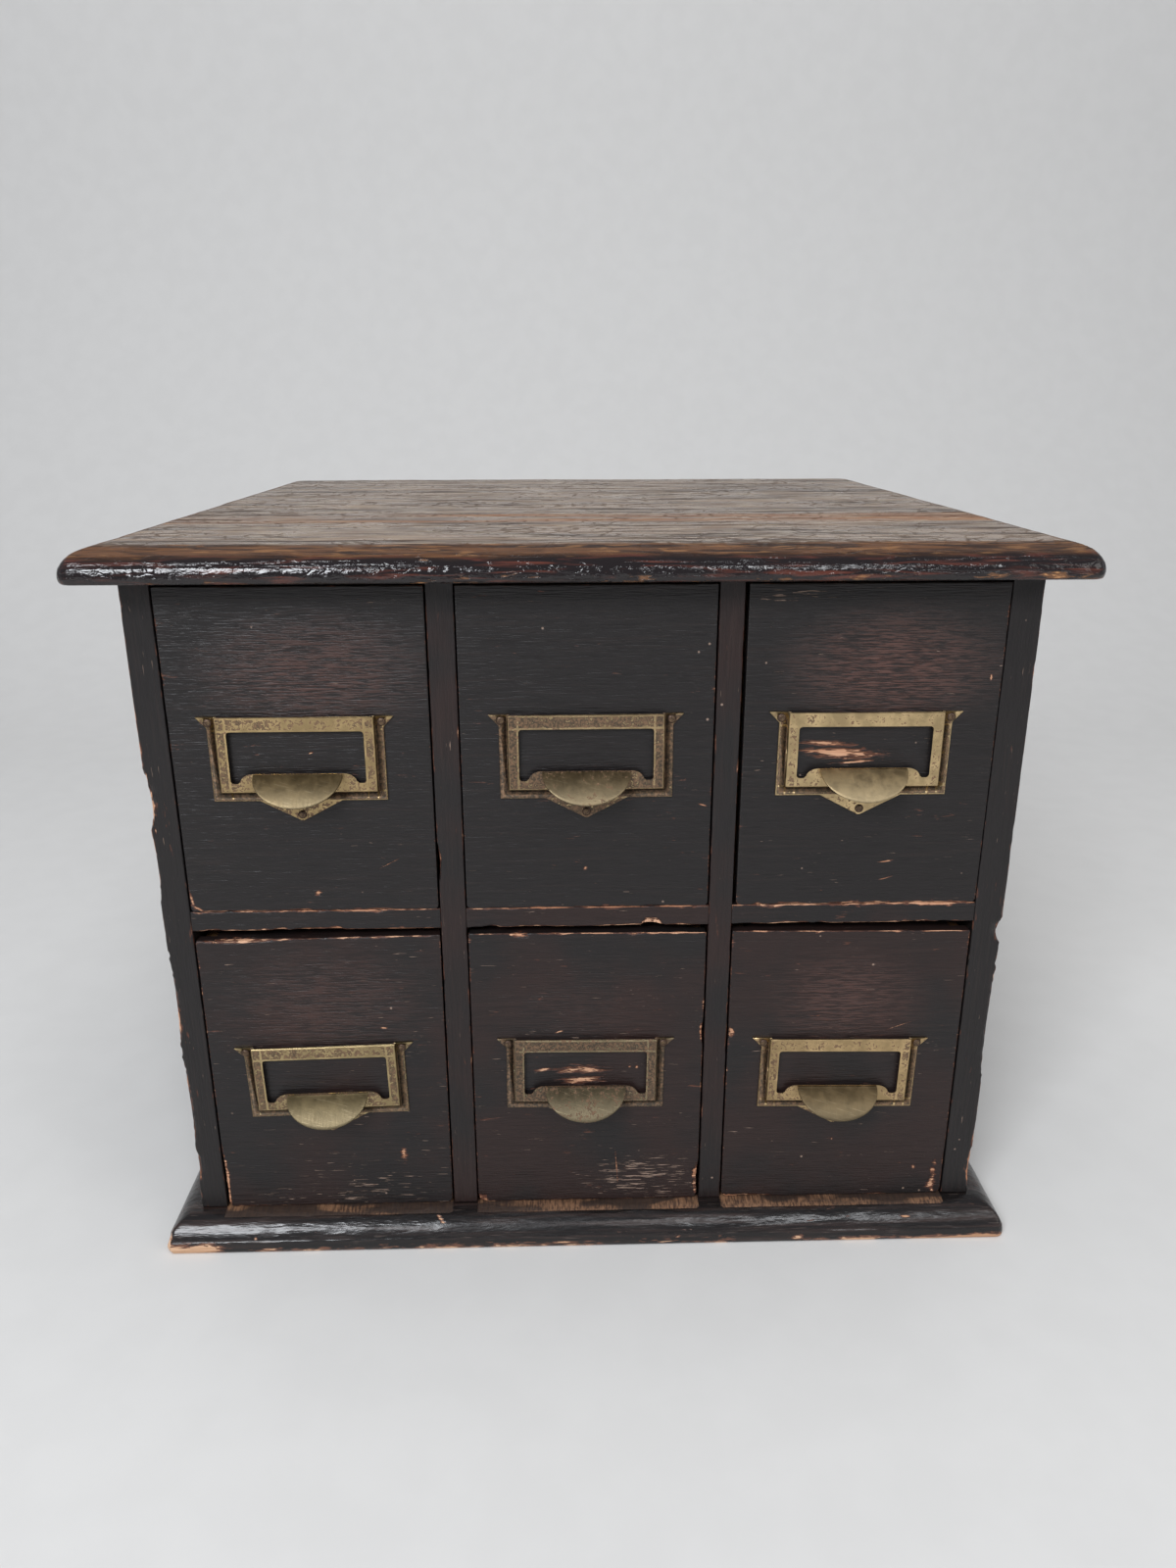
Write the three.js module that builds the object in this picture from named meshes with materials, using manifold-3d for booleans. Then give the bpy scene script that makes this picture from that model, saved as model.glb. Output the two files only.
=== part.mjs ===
// Apothecary cabinet: six plain wooden drawers, two rows of three, in a thin-walled case.
// A moulded top board of three glued planks covers it and a bullnosed base board carries it.
// Each drawer front has one stamped brass pull, a card frame with a half-moon hood below it.
// Millimetres, +Z up, front towards -Y, origin at the middle of the underside.

import * as THREE from 'three';
import { mergeVertices } from 'three/addons/utils/BufferGeometryUtils.js';
import Module from 'manifold-3d';

const wasm = await Module();
wasm.setup();

// ---------------------------------------------------------------- driving dimensions

// Boards
const TOP_WIDTH = 438;
const TOP_DEPTH = 410;
const TOP_THICKNESS = 15;
const TOP_CORNER_RADIUS = 10;
const TOP_MOULDING_WIDTH = 22;
const TOP_NOSE_RISE = 3;
const TOP_MOULDING_POWER = 1.6;
const FRONT_PLANK_DEPTH = 82;
const MIDDLE_PLANK_DEPTH = 113;

const BASE_WIDTH = 432;
const BASE_THICKNESS = 17;
const BASE_OVERHANG = 15;
const BASE_CORNER_RADIUS = 4;
const BASE_NOSE_WIDTH = 8;
const BASE_NOSE_RISE = 7;
const BASE_NOSE_POWER = 2;

const CASE_WIDTH = 400;
const CASE_HEIGHT = 324;
const CASE_DEPTH = 391;
const SHELF_THICKNESS = 10;
const SHELF_HEIGHT = 175;
const BACK_PANEL_THICKNESS = 6;

// The three bays between the upright boards. The uprights aren't quite alike.
const BAYS = {
  left: { from: -187, to: -69.5 },
  centre: { from: -57.5, to: 58 },
  right: { from: 69, to: 186 },
};

// Drawers
const FRONT_THICKNESS = 12;
const DRAWER_LENGTH = 372;
const SIDE_HEIGHT = 149;
const SIDE_THICKNESS = 8;
const SIDE_INSET = 0.5;
const BACK_THICKNESS = 8;
const BACK_HEIGHT_LOSS = 4;
const BOTTOM_THICKNESS = 4;
const BOTTOM_RISE = 6;
const GROOVE_DEPTH = 3.5;
const REBATE_DEPTH = 6;
const UPPER_CORNER_RADIUS = 2;
const LOWER_CORNER_RADIUS = 3.5;

// Each front: its gaps to the uprights, the height of its two ends, and where its pull sits.
// The lower fronts were never planed square, and their pulls hang a little crooked.
const DRAWERS = [
  { row: 'upper', bay: 'left', gaps: [0.8, 0.8], ends: [152.5, 152.5], pull: [-129.9, 280], tilt: 0 },
  { row: 'upper', bay: 'centre', gaps: [0.6, 0.8], ends: [152.5, 152.5], pull: [-0.3, 280], tilt: 0.1 },
  { row: 'upper', bay: 'right', gaps: [1.8, 0.4], ends: [152.5, 152.5], pull: [125.9, 280], tilt: -0.2 },
  { row: 'lower', bay: 'left', gaps: [0.8, 0.8], ends: [152.5, 154.2], pull: [-130, 112.5], tilt: 1.3 },
  { row: 'lower', bay: 'centre', gaps: [0.6, 0.8], ends: [154.6, 153.8], pull: [-0.9, 114], tilt: -0.6 },
  { row: 'lower', bay: 'right', gaps: [0.8, 0.8], ends: [154.2, 152.8], pull: [126, 112], tilt: -1 },
];

// Brass pull, one stamped sheet. Heights are measured down from the plate's top edge.
const SHEET = 1;
const PLATE_HALF_WIDTH = 39.2;
const EAR_HALF_WIDTH = 43.8;
const EAR_HEIGHT = 5;
const PLATE_HEIGHT = 39.6;
const POINT_HALF_WIDTH = 18.7;
const POINT_DROP = 49.5;
const FRAME_PROUD = 2.8;
const FRAME_HALF_WIDTH = 35.1;
const FRAME_HEIGHT = 35;
const FRAME_SLOPE = 0.8;
const WINDOW_HALF_WIDTH = 30.7;
const WINDOW_TOP = 6.2;
const WINDOW_BOTTOM = 31;
const WINDOW_CORNER = 1.8;
const TAB_TOP = 26.4;
const TAB_HALF_WIDTH = 21;
const TAB_FOOT = 26;
const HOOD_HALF_WIDTH = 20;
const HOOD_PROUD = 15.4;
const HOOD_DROP = 38;
const HOOD_BULGE = 2;
const HOOD_COLUMNS = 14;
const HOOD_ROWS = 3;

// Screws
const SCREW_HEAD_RADIUS = 2;
const SCREW_HEAD_HEIGHT = 0.9;
const SCREW_SHANK_RADIUS = 0.9;
const SCREW_LENGTH = 8;
const SCREW_X = 38.4;
const SCREW_DROP = 2.6;
const SLOT_WIDTH = 0.6;
const SLOT_DEPTH = 0.45;
const PILOT_RADIUS = 1.25;
const PILOT_DEPTH = 9;
const ROUND_SIDES = 12;

// ---------------------------------------------------------------- places

const BACK_Y = TOP_DEPTH / 2;
const FRONT_Y = BACK_Y - CASE_DEPTH;
const CASE_TOP = BASE_THICKNESS + CASE_HEIGHT;
const INNER_BACK_Y = BACK_Y - BACK_PANEL_THICKNESS;
const FLOOR = { lower: BASE_THICKNESS, upper: SHELF_HEIGHT + SHELF_THICKNESS };

// ---------------------------------------------------------------- materials

function finish(color, roughness, metalness) {
  return () => new THREE.MeshStandardMaterial({ color, roughness, metalness });
}
const blackTop = finish(0x4a3d33, 0.5, 0);
const blackCase = finish(0x232122, 0.45, 0);
const blackBase = finish(0x1d1c1b, 0.35, 0);
const blackFront = finish(0x2a2a2e, 0.45, 0);
const rawWood = finish(0x9a7650, 0.7, 0);
const agedBrass = finish(0x9a8150, 0.45, 1);
const darkSteel = finish(0x2b2622, 0.5, 1);

// ---------------------------------------------------------------- solids

function toSolid(geometry) {
  const bare = geometry.clone();
  bare.deleteAttribute('normal');
  bare.deleteAttribute('uv');
  const merged = mergeVertices(bare, 1e-4);
  const vertProperties = Float32Array.from(merged.attributes.position.array);
  const triVerts = Uint32Array.from(merged.index.array);
  return new wasm.Manifold(new wasm.Mesh({ numProp: 3, vertProperties, triVerts }));
}

function toGeometry(solid) {
  const { vertProperties, triVerts } = solid.getMesh();
  const geometry = new THREE.BufferGeometry();
  geometry.setAttribute('position', new THREE.BufferAttribute(vertProperties, 3));
  geometry.setIndex(new THREE.BufferAttribute(triVerts, 1));
  geometry.computeVertexNormals();
  return geometry;
}

function boxBetween(low, high) {
  const size = high.map((value, axis) => value - low[axis]);
  const centre = high.map((value, axis) => (value + low[axis]) / 2);
  return new THREE.BoxGeometry(...size).translate(...centre);
}

// An outline drawn in X and Z, pushed out towards -Y from back to back - depth.
function extrudeForward(shape, depth, back = 0) {
  const geometry = new THREE.ExtrudeGeometry(shape, { depth, bevelEnabled: false, curveSegments: 4 });
  const position = geometry.attributes.position;
  for (let i = 0; i < position.count; i += 1) {
    position.setXYZ(i, position.getX(i), back - position.getZ(i), position.getY(i));
  }
  return geometry;
}

// Closed skin over rings of points, each ring counter-clockwise seen from its far end.
function loft(rings) {
  const count = rings[0].length;
  const triangles = [];
  for (let r = 0; r < rings.length - 1; r += 1) {
    for (let i = 0; i < count; i += 1) {
      const a = r * count + i;
      const b = r * count + ((i + 1) % count);
      triangles.push(a, b, b + count, a, b + count, a + count);
    }
  }
  const last = (rings.length - 1) * count;
  for (let i = 1; i < count - 1; i += 1) {
    triangles.push(0, i + 1, i, last, last + i, last + i + 1);
  }
  const geometry = new THREE.BufferGeometry();
  geometry.setAttribute('position', new THREE.Float32BufferAttribute(rings.flat(2), 3));
  geometry.setIndex(triangles);
  return geometry;
}

// ---------------------------------------------------------------- moulded boards

// Edge profile from the underside up: a small arris, a nose, then a superellipse to the top.
function edgeProfile(width, thickness, noseRise, power) {
  const steps = 6;
  const profile = [[noseRise * 0.4, 0], [noseRise * 0.1, noseRise * 0.4]];
  for (let i = 0; i <= steps; i += 1) {
    const angle = (i / steps) * (Math.PI / 2);
    const out = Math.cos(angle) ** (2 / power);
    const up = Math.sin(angle) ** (2 / power);
    profile.push([i === steps ? width : width * (1 - out), noseRise + (thickness - noseRise) * up]);
  }
  return profile;
}

// A board with the profile along its front and both ends, and a square back edge.
function mouldedBoard(width, frontY, bottomZ, cornerRadius, profile) {
  const cornerSteps = 5;
  const rings = profile.map(([inset, height]) => {
    const side = width / 2 - inset;
    const front = frontY + inset;
    const radius = Math.max(cornerRadius - inset, 0.5);
    const z = bottomZ + height;
    const ring = [[-side, BACK_Y, z]];
    for (let i = 0; i <= cornerSteps; i += 1) {
      const angle = (i / cornerSteps) * (Math.PI / 2);
      ring.push([-side + radius * (1 - Math.cos(angle)), front + radius * (1 - Math.sin(angle)), z]);
    }
    for (let i = cornerSteps; i >= 0; i -= 1) {
      const angle = (i / cornerSteps) * (Math.PI / 2);
      ring.push([side - radius * (1 - Math.cos(angle)), front + radius * (1 - Math.sin(angle)), z]);
    }
    ring.push([side, BACK_Y, z]);
    return ring;
  });
  return loft(rings);
}

function topPlanks() {
  const profile = edgeProfile(TOP_MOULDING_WIDTH, TOP_THICKNESS, TOP_NOSE_RISE, TOP_MOULDING_POWER);
  const frontY = -TOP_DEPTH / 2;
  const board = toSolid(mouldedBoard(TOP_WIDTH, frontY, CASE_TOP, TOP_CORNER_RADIUS, profile));
  const firstJoint = frontY + FRONT_PLANK_DEPTH;
  const secondJoint = firstJoint + MIDDLE_PLANK_DEPTH;
  const spans = {
    top_plank_front: [frontY - 1, firstJoint],
    top_plank_middle: [firstJoint, secondJoint],
    top_plank_rear: [secondJoint, BACK_Y + 1],
  };
  return Object.entries(spans).map(([name, [from, to]]) => {
    const low = [-TOP_WIDTH, from, CASE_TOP - 1];
    const high = [TOP_WIDTH, to, CASE_TOP + TOP_THICKNESS + 1];
    return { name, geometry: toGeometry(board.intersect(toSolid(boxBetween(low, high)))) };
  });
}

function baseBoard() {
  const profile = edgeProfile(BASE_NOSE_WIDTH, BASE_THICKNESS, BASE_NOSE_RISE, BASE_NOSE_POWER);
  return mouldedBoard(BASE_WIDTH, FRONT_Y - BASE_OVERHANG, 0, BASE_CORNER_RADIUS, profile);
}

// ---------------------------------------------------------------- case

function caseBoards() {
  const upright = (from, to) => boxBetween([from, FRONT_Y, BASE_THICKNESS], [to, BACK_Y, CASE_TOP]);
  const divider = (from, to) => boxBetween([from, FRONT_Y, BASE_THICKNESS], [to, INNER_BACK_Y, CASE_TOP]);
  const shelf = ({ from, to }) =>
    boxBetween([from, FRONT_Y, SHELF_HEIGHT], [to, INNER_BACK_Y, SHELF_HEIGHT + SHELF_THICKNESS]);
  const backLow = [BAYS.left.from, INNER_BACK_Y, BASE_THICKNESS];
  const backHigh = [BAYS.right.to, BACK_Y, CASE_TOP];
  return [
    { name: 'side_left', geometry: upright(-CASE_WIDTH / 2, BAYS.left.from) },
    { name: 'side_right', geometry: upright(BAYS.right.to, CASE_WIDTH / 2) },
    { name: 'divider_left', geometry: divider(BAYS.left.to, BAYS.centre.from) },
    { name: 'divider_right', geometry: divider(BAYS.centre.to, BAYS.right.from) },
    { name: 'shelf_left', geometry: shelf(BAYS.left) },
    { name: 'shelf_centre', geometry: shelf(BAYS.centre) },
    { name: 'shelf_right', geometry: shelf(BAYS.right) },
    { name: 'back_panel', geometry: boxBetween(backLow, backHigh) },
  ];
}

// ---------------------------------------------------------------- brass pull

function plateOutline() {
  const shape = new THREE.Shape();
  shape.moveTo(-EAR_HALF_WIDTH, 0);
  shape.lineTo(-PLATE_HALF_WIDTH, -EAR_HEIGHT);
  shape.lineTo(-PLATE_HALF_WIDTH, -PLATE_HEIGHT);
  shape.lineTo(-POINT_HALF_WIDTH, -PLATE_HEIGHT);
  shape.lineTo(0, -POINT_DROP);
  shape.lineTo(POINT_HALF_WIDTH, -PLATE_HEIGHT);
  shape.lineTo(PLATE_HALF_WIDTH, -PLATE_HEIGHT);
  shape.lineTo(PLATE_HALF_WIDTH, -EAR_HEIGHT);
  shape.lineTo(EAR_HALF_WIDTH, 0);
  shape.closePath();
  return shape;
}

// The window is a rectangle whose lower edge rises to a tab with round shoulders.
function windowOutline() {
  const left = -WINDOW_HALF_WIDTH;
  const right = WINDOW_HALF_WIDTH;
  const r = WINDOW_CORNER;
  const shape = new THREE.Shape();
  shape.moveTo(left + r, -WINDOW_TOP);
  shape.quadraticCurveTo(left, -WINDOW_TOP, left, -WINDOW_TOP - r);
  shape.lineTo(left, -WINDOW_BOTTOM + r);
  shape.quadraticCurveTo(left, -WINDOW_BOTTOM, left + r, -WINDOW_BOTTOM);
  shape.lineTo(-TAB_FOOT, -WINDOW_BOTTOM);
  shape.quadraticCurveTo(-TAB_FOOT, -TAB_TOP, -TAB_HALF_WIDTH, -TAB_TOP);
  shape.lineTo(TAB_HALF_WIDTH, -TAB_TOP);
  shape.quadraticCurveTo(TAB_FOOT, -TAB_TOP, TAB_FOOT, -WINDOW_BOTTOM);
  shape.lineTo(right - r, -WINDOW_BOTTOM);
  shape.quadraticCurveTo(right, -WINDOW_BOTTOM, right, -WINDOW_BOTTOM + r);
  shape.lineTo(right, -WINDOW_TOP - r);
  shape.quadraticCurveTo(right, -WINDOW_TOP, right - r, -WINDOW_TOP);
  shape.closePath();
  return shape;
}

// A block with sloping sides and foot and an upright top, its wide face at backY.
function taperedBlock(halfWidth, height, top, backY, frontY) {
  const ring = (slope, y) => [
    [-halfWidth - slope, y, -height - slope],
    [halfWidth + slope, y, -height - slope],
    [halfWidth + slope, y, top],
    [-halfWidth - slope, y, top],
  ];
  return loft([ring(FRAME_SLOPE, backY), ring(0, frontY)]);
}

// Point and outward normal on the hood's middle line, at 0 on the fold and 1 at the free edge.
function hoodLine(t) {
  const fold = new THREE.Vector2(SHEET / 2 - FRAME_PROUD - 0.3, -TAB_TOP - 0.3);
  const edge = new THREE.Vector2(-HOOD_PROUD, -HOOD_DROP);
  const along = edge.clone().sub(fold);
  const outward = new THREE.Vector2(along.y, -along.x).normalize();
  const control = fold.clone().add(edge).multiplyScalar(0.5).addScaledVector(outward, HOOD_BULGE);
  const curve = new THREE.QuadraticBezierCurve(fold, control, edge);
  const tangent = curve.getTangent(t);
  return { point: curve.getPoint(t), normal: new THREE.Vector2(tangent.y, -tangent.x) };
}

// Half-moon flap: straight along the fold, round along the free edge, one sheet thick.
function hood() {
  const rings = [];
  for (let column = 0; column <= HOOD_COLUMNS; column += 1) {
    const angle = (column / HOOD_COLUMNS) * Math.PI;
    const x = -HOOD_HALF_WIDTH * Math.cos(angle);
    const reach = Math.max(Math.sin(angle), 0.06);
    const outer = [];
    const inner = [];
    for (let row = 0; row <= HOOD_ROWS; row += 1) {
      const { point, normal } = hoodLine((reach * row) / HOOD_ROWS);
      const half = SHEET / 2;
      outer.push([x, point.x + normal.x * half, point.y + normal.y * half]);
      inner.unshift([x, point.x - normal.x * half, point.y - normal.y * half]);
    }
    rings.push([...outer, ...inner]);
  }
  return loft(rings);
}

function roundHole(x, z, radius, frontY, depth) {
  const geometry = new THREE.CylinderGeometry(radius, radius, depth, ROUND_SIDES);
  return geometry.translate(x, frontY + depth / 2, z);
}

function pullGeometry() {
  const plate = toSolid(extrudeForward(plateOutline(), SHEET));
  const raised = toSolid(taperedBlock(FRAME_HALF_WIDTH, FRAME_HEIGHT, 0, 0, -FRAME_PROUD));
  const hollow = toSolid(
    taperedBlock(FRAME_HALF_WIDTH - SHEET, FRAME_HEIGHT - SHEET, 5, 1, SHEET - FRAME_PROUD),
  );
  const window = toSolid(extrudeForward(windowOutline(), FRAME_PROUD + 2, 1));
  let solid = plate.add(raised).subtract(hollow).subtract(window).add(toSolid(hood()));
  for (const side of [-1, 1]) {
    const hole = roundHole(side * SCREW_X, -SCREW_DROP, PILOT_RADIUS, -FRAME_PROUD - 1, FRAME_PROUD + 2);
    const seat = roundHole(
      side * SCREW_X,
      -SCREW_DROP,
      SCREW_HEAD_RADIUS + 0.3,
      -FRAME_PROUD - 1,
      FRAME_PROUD + 1 - SHEET,
    );
    solid = solid.subtract(toSolid(hole)).subtract(toSolid(seat));
  }
  return toGeometry(solid);
}

// ---------------------------------------------------------------- screw

// Slotted round-head screw along Y, its head's underside at y = 0 and its shank towards +Y.
function screwGeometry(slotAngle) {
  const profile = [
    [0, -SCREW_HEAD_HEIGHT],
    [SCREW_HEAD_RADIUS * 0.6, -SCREW_HEAD_HEIGHT * 0.85],
    [SCREW_HEAD_RADIUS, -SCREW_HEAD_HEIGHT * 0.3],
    [SCREW_HEAD_RADIUS, 0],
    [SCREW_SHANK_RADIUS, 0],
    [SCREW_SHANK_RADIUS, SCREW_LENGTH - 2],
    [0, SCREW_LENGTH],
  ];
  const points = profile.map(([radius, y]) => new THREE.Vector2(radius, y));
  const body = toSolid(new THREE.LatheGeometry(points, ROUND_SIDES));
  const reach = SCREW_HEAD_RADIUS + 1;
  const slotFloor = SLOT_DEPTH - SCREW_HEAD_HEIGHT;
  const slot = boxBetween([-reach, -2, -SLOT_WIDTH / 2], [reach, slotFloor, SLOT_WIDTH / 2]);
  slot.rotateY(slotAngle);
  return toGeometry(body.subtract(toSolid(slot)));
}

// ---------------------------------------------------------------- drawers

// Front board outline in X and Z: ends of two heights, worn round lower corners.
function frontOutline(from, to, floor, ends, radius) {
  const shape = new THREE.Shape();
  shape.moveTo(from, floor + ends[0]);
  shape.lineTo(from, floor + radius);
  shape.quadraticCurveTo(from, floor, from + radius, floor);
  shape.lineTo(to - radius, floor);
  shape.quadraticCurveTo(to, floor, to, floor + radius);
  shape.lineTo(to, floor + ends[1]);
  shape.closePath();
  return shape;
}

function screwPlaces(drawer) {
  const turn = THREE.MathUtils.degToRad(drawer.tilt);
  return [-1, 1].map((side) => {
    const dx = side * SCREW_X;
    const dz = -SCREW_DROP;
    return [
      drawer.pull[0] + dx * Math.cos(turn) - dz * Math.sin(turn),
      drawer.pull[1] + dx * Math.sin(turn) + dz * Math.cos(turn),
    ];
  });
}

function drawerBoards(drawer) {
  const floor = FLOOR[drawer.row];
  const from = BAYS[drawer.bay].from + drawer.gaps[0];
  const to = BAYS[drawer.bay].to - drawer.gaps[1];
  const radius = drawer.row === 'lower' ? LOWER_CORNER_RADIUS : UPPER_CORNER_RADIUS;
  const rearY = FRONT_Y + DRAWER_LENGTH;
  const innerY = FRONT_Y + FRONT_THICKNESS;
  const rebateY = FRONT_Y + REBATE_DEPTH;
  const sideTop = floor + SIDE_HEIGHT;
  const panelZ = [floor + BOTTOM_RISE, floor + BOTTOM_RISE + BOTTOM_THICKNESS];
  const outer = { left: from + SIDE_INSET, right: to - SIDE_INSET };
  const inner = { left: outer.left + SIDE_THICKNESS, right: outer.right - SIDE_THICKNESS };
  const panel = boxBetween(
    [inner.left - GROOVE_DEPTH, innerY - GROOVE_DEPTH, panelZ[0]],
    [inner.right + GROOVE_DEPTH, rearY, panelZ[1]],
  );

  const blank = extrudeForward(frontOutline(from, to, floor, drawer.ends, radius), FRONT_THICKNESS, innerY);
  const over = floor + Math.max(...drawer.ends) + 1;
  const rebates = [
    boxBetween([from - 1, rebateY, floor - 1], [inner.left, innerY + 1, over]),
    boxBetween([inner.right, rebateY, floor - 1], [to + 1, innerY + 1, over]),
  ];
  let front = toSolid(blank).subtract(toSolid(panel));
  for (const rebate of rebates) {
    front = front.subtract(toSolid(rebate));
  }
  for (const [x, z] of screwPlaces(drawer)) {
    front = front.subtract(toSolid(roundHole(x, z, PILOT_RADIUS, FRONT_Y - 1, PILOT_DEPTH + 1)));
  }

  const side = (low, high) => {
    const board = boxBetween([low, rebateY, floor], [high, rearY, sideTop]);
    return toGeometry(toSolid(board).subtract(toSolid(panel)));
  };
  const back = boxBetween(
    [inner.left, rearY - BACK_THICKNESS, panelZ[1]],
    [inner.right, rearY, sideTop - BACK_HEIGHT_LOSS],
  );
  return {
    front: { geometry: toGeometry(front), material: blackFront },
    side_left: { geometry: side(outer.left, inner.left), material: rawWood },
    side_right: { geometry: side(inner.right, outer.right), material: rawWood },
    back: { geometry: back, material: rawWood },
    bottom: { geometry: panel, material: rawWood },
  };
}

// ---------------------------------------------------------------- assembly

const cabinet = new THREE.Group();

function addMesh(parent, name, geometry, material) {
  const mesh = new THREE.Mesh(geometry, material());
  mesh.name = name;
  parent.add(mesh);
  return mesh;
}

for (const { name, geometry } of topPlanks()) {
  addMesh(cabinet, name, geometry, blackTop);
}
addMesh(cabinet, 'base_board', baseBoard(), blackBase);
for (const { name, geometry } of caseBoards()) {
  addMesh(cabinet, name, geometry, blackCase);
}

const pull = pullGeometry();
DRAWERS.forEach((drawer, index) => {
  const group = new THREE.Group();
  cabinet.add(group);
  const name = `${drawer.row}_${drawer.bay}`;
  for (const [piece, { geometry, material }] of Object.entries(drawerBoards(drawer))) {
    addMesh(group, `${name}_drawer_${piece}`, geometry, material);
  }
  const plate = addMesh(group, `${name}_pull`, pull, agedBrass);
  plate.position.set(drawer.pull[0], FRONT_Y, drawer.pull[1]);
  plate.rotation.y = -THREE.MathUtils.degToRad(drawer.tilt);
  screwPlaces(drawer).forEach(([x, z], side) => {
    const slotAngle = 0.5 + 0.9 * index + 1.7 * side;
    const label = ['left', 'right'][side];
    const screw = addMesh(group, `${name}_screw_${label}`, screwGeometry(slotAngle), darkSteel);
    screw.position.set(x, FRONT_Y - SHEET, z);
  });
});

export default cabinet;
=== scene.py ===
"""Apothecary cabinet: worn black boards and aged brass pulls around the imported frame, in metres."""

from itertools import combinations
from math import atan2, cos, pi, radians, sin

import bpy
import numpy as np
from mathutils import Euler, Matrix, Vector
from mathutils.geometry import tessellate_polygon


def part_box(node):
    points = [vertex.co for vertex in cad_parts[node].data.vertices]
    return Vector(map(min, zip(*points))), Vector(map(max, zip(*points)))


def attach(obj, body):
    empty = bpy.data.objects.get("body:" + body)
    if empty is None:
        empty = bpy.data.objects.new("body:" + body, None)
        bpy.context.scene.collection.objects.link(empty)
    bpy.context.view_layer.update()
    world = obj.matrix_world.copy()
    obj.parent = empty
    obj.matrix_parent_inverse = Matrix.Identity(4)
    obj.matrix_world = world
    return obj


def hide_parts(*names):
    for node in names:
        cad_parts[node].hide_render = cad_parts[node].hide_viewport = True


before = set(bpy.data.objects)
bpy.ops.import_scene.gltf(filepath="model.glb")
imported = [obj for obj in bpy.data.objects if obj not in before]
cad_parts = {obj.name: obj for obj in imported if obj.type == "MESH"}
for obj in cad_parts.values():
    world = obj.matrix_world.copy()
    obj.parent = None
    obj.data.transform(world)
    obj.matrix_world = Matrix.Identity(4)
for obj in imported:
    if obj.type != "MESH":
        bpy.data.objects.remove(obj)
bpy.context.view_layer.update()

MM = 0.001
X, Y, Z = 0, 1, 2

# ---- numbers and noise


def srgb(red, green, blue):
    """Linear colour from 0-255 display values."""
    values = [v / 255 for v in (red, green, blue)]
    return tuple(v / 12.92 if v <= 0.04045 else ((v + 0.055) / 1.055) ** 2.4 for v in values) + (1.0,)


def scaled(colour, factor):
    """A colour made darker or lighter."""
    return tuple(min(1, c * factor) for c in colour[:3]) + (1.0,)


def smooth(low, high, value):
    """0 at low, 1 at high and smooth between them. It falls where low is above high."""
    t = np.clip((value - low) / (high - low), 0, 1)
    return t * t * (3 - 2 * t)


def hashed(lattice, seed):
    """A repeatable value from 0 to 1 for each whole-number point."""
    x, y, z = (lattice[:, axis].astype(np.int64) for axis in range(3))
    n = (x * 374761393 + y * 668265263 + z * 1442695041 + seed * 974634777) & 0xFFFFFFFF
    n = ((n ^ (n >> 13)) * 1274126177) & 0xFFFFFFFF
    return ((n ^ (n >> 16)) & 0xFFFFFF) / 0xFFFFFF


def noise(points, size, seed=0):
    """Smooth noise from 0 to 1 at points in metres, its features about size millimetres across."""
    place = points / (np.asarray(size) * MM)
    base = np.floor(place)
    part = place - base
    part = part * part * (3 - 2 * part)
    total = np.zeros(len(points))
    for corner in np.ndindex(2, 2, 2):
        weight = np.prod(np.where(corner, part, 1 - part), axis=1)
        total += weight * hashed(base + corner, seed)
    return total


# ---- meshes


def placed(name, data, matrix=Matrix()):
    """A new object that shows a mesh, light or camera."""
    thing = bpy.data.objects.new(name, data)
    bpy.context.scene.collection.objects.link(thing)
    thing.matrix_world = matrix
    return thing


def make_object(name, vertices, faces, materials=(), **attributes):
    """A smooth-shaded mesh object. attributes hold one value for each vertex."""
    mesh = bpy.data.meshes.new(name)
    mesh.from_pydata([tuple(v) for v in vertices], [], [tuple(f) for f in faces])
    for key, values in attributes.items():
        mesh.attributes.new(key, "FLOAT", "POINT").data.foreach_set("value", values.astype(np.float32))
    mesh.polygons.foreach_set("use_smooth", [True] * len(mesh.polygons))
    for material in materials:
        mesh.materials.append(material)
    mesh.update()
    return placed(name, mesh)


def stand_for(piece, node, body):
    """The piece is shown instead of that CAD node and moves with its body."""
    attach(piece, body)
    if node:
        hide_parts(node)
    return piece


ARRIS_CUTS = np.array([0, 0.25, 0.5, 0.8, 1.2, 1.8, 2.6]) * MM


def cuts(low, high, step):
    """Where a board's grid lines fall along one axis: close at both ends, then a step apart."""
    near = ARRIS_CUTS if high - low > 8 * MM else ARRIS_CUTS[:4]
    count = max(1, round((high - low - 2 * near[-1]) / (step * MM)))
    middle = np.linspace(low + near[-1], high - near[-1], count + 1)
    return np.concatenate([low + near[:-1], middle, high - near[:-1][::-1]])


def box_grid(lines):
    """Vertices and outward quads of a box cut by three lists of grid lines."""
    counts = [len(line) for line in lines]
    steps = np.array([counts[1] * counts[2], counts[2], 1])
    quads = []
    for axis in range(3):
        u, v = (axis + 1) % 3, (axis + 2) % 3
        i, j = (g.ravel() for g in np.meshgrid(range(counts[u] - 1), range(counts[v] - 1), indexing="ij"))
        for side in (0, 1):
            corners = []
            for du, dv in ((0, 0), (1, 0), (1, 1), (0, 1)):
                index = np.zeros((len(i), 3), int)
                index[:, axis] = side * (counts[axis] - 1)
                index[:, u] = i + du
                index[:, v] = j + dv
                corners.append(index @ steps)
            quads.append(np.stack(corners if side else corners[::-1], axis=1))
    used, quads = np.unique(np.concatenate(quads), return_inverse=True)
    places = [used // steps[0], used // steps[1] % counts[1], used % counts[2]]
    vertices = np.stack([np.asarray(lines[axis])[places[axis]] for axis in range(3)], axis=1)
    return vertices, quads.reshape(-1, 4)


FACES = ("left", "right", "front", "back", "under", "top")
ARRIS_REACH = 2.5 * MM


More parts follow.
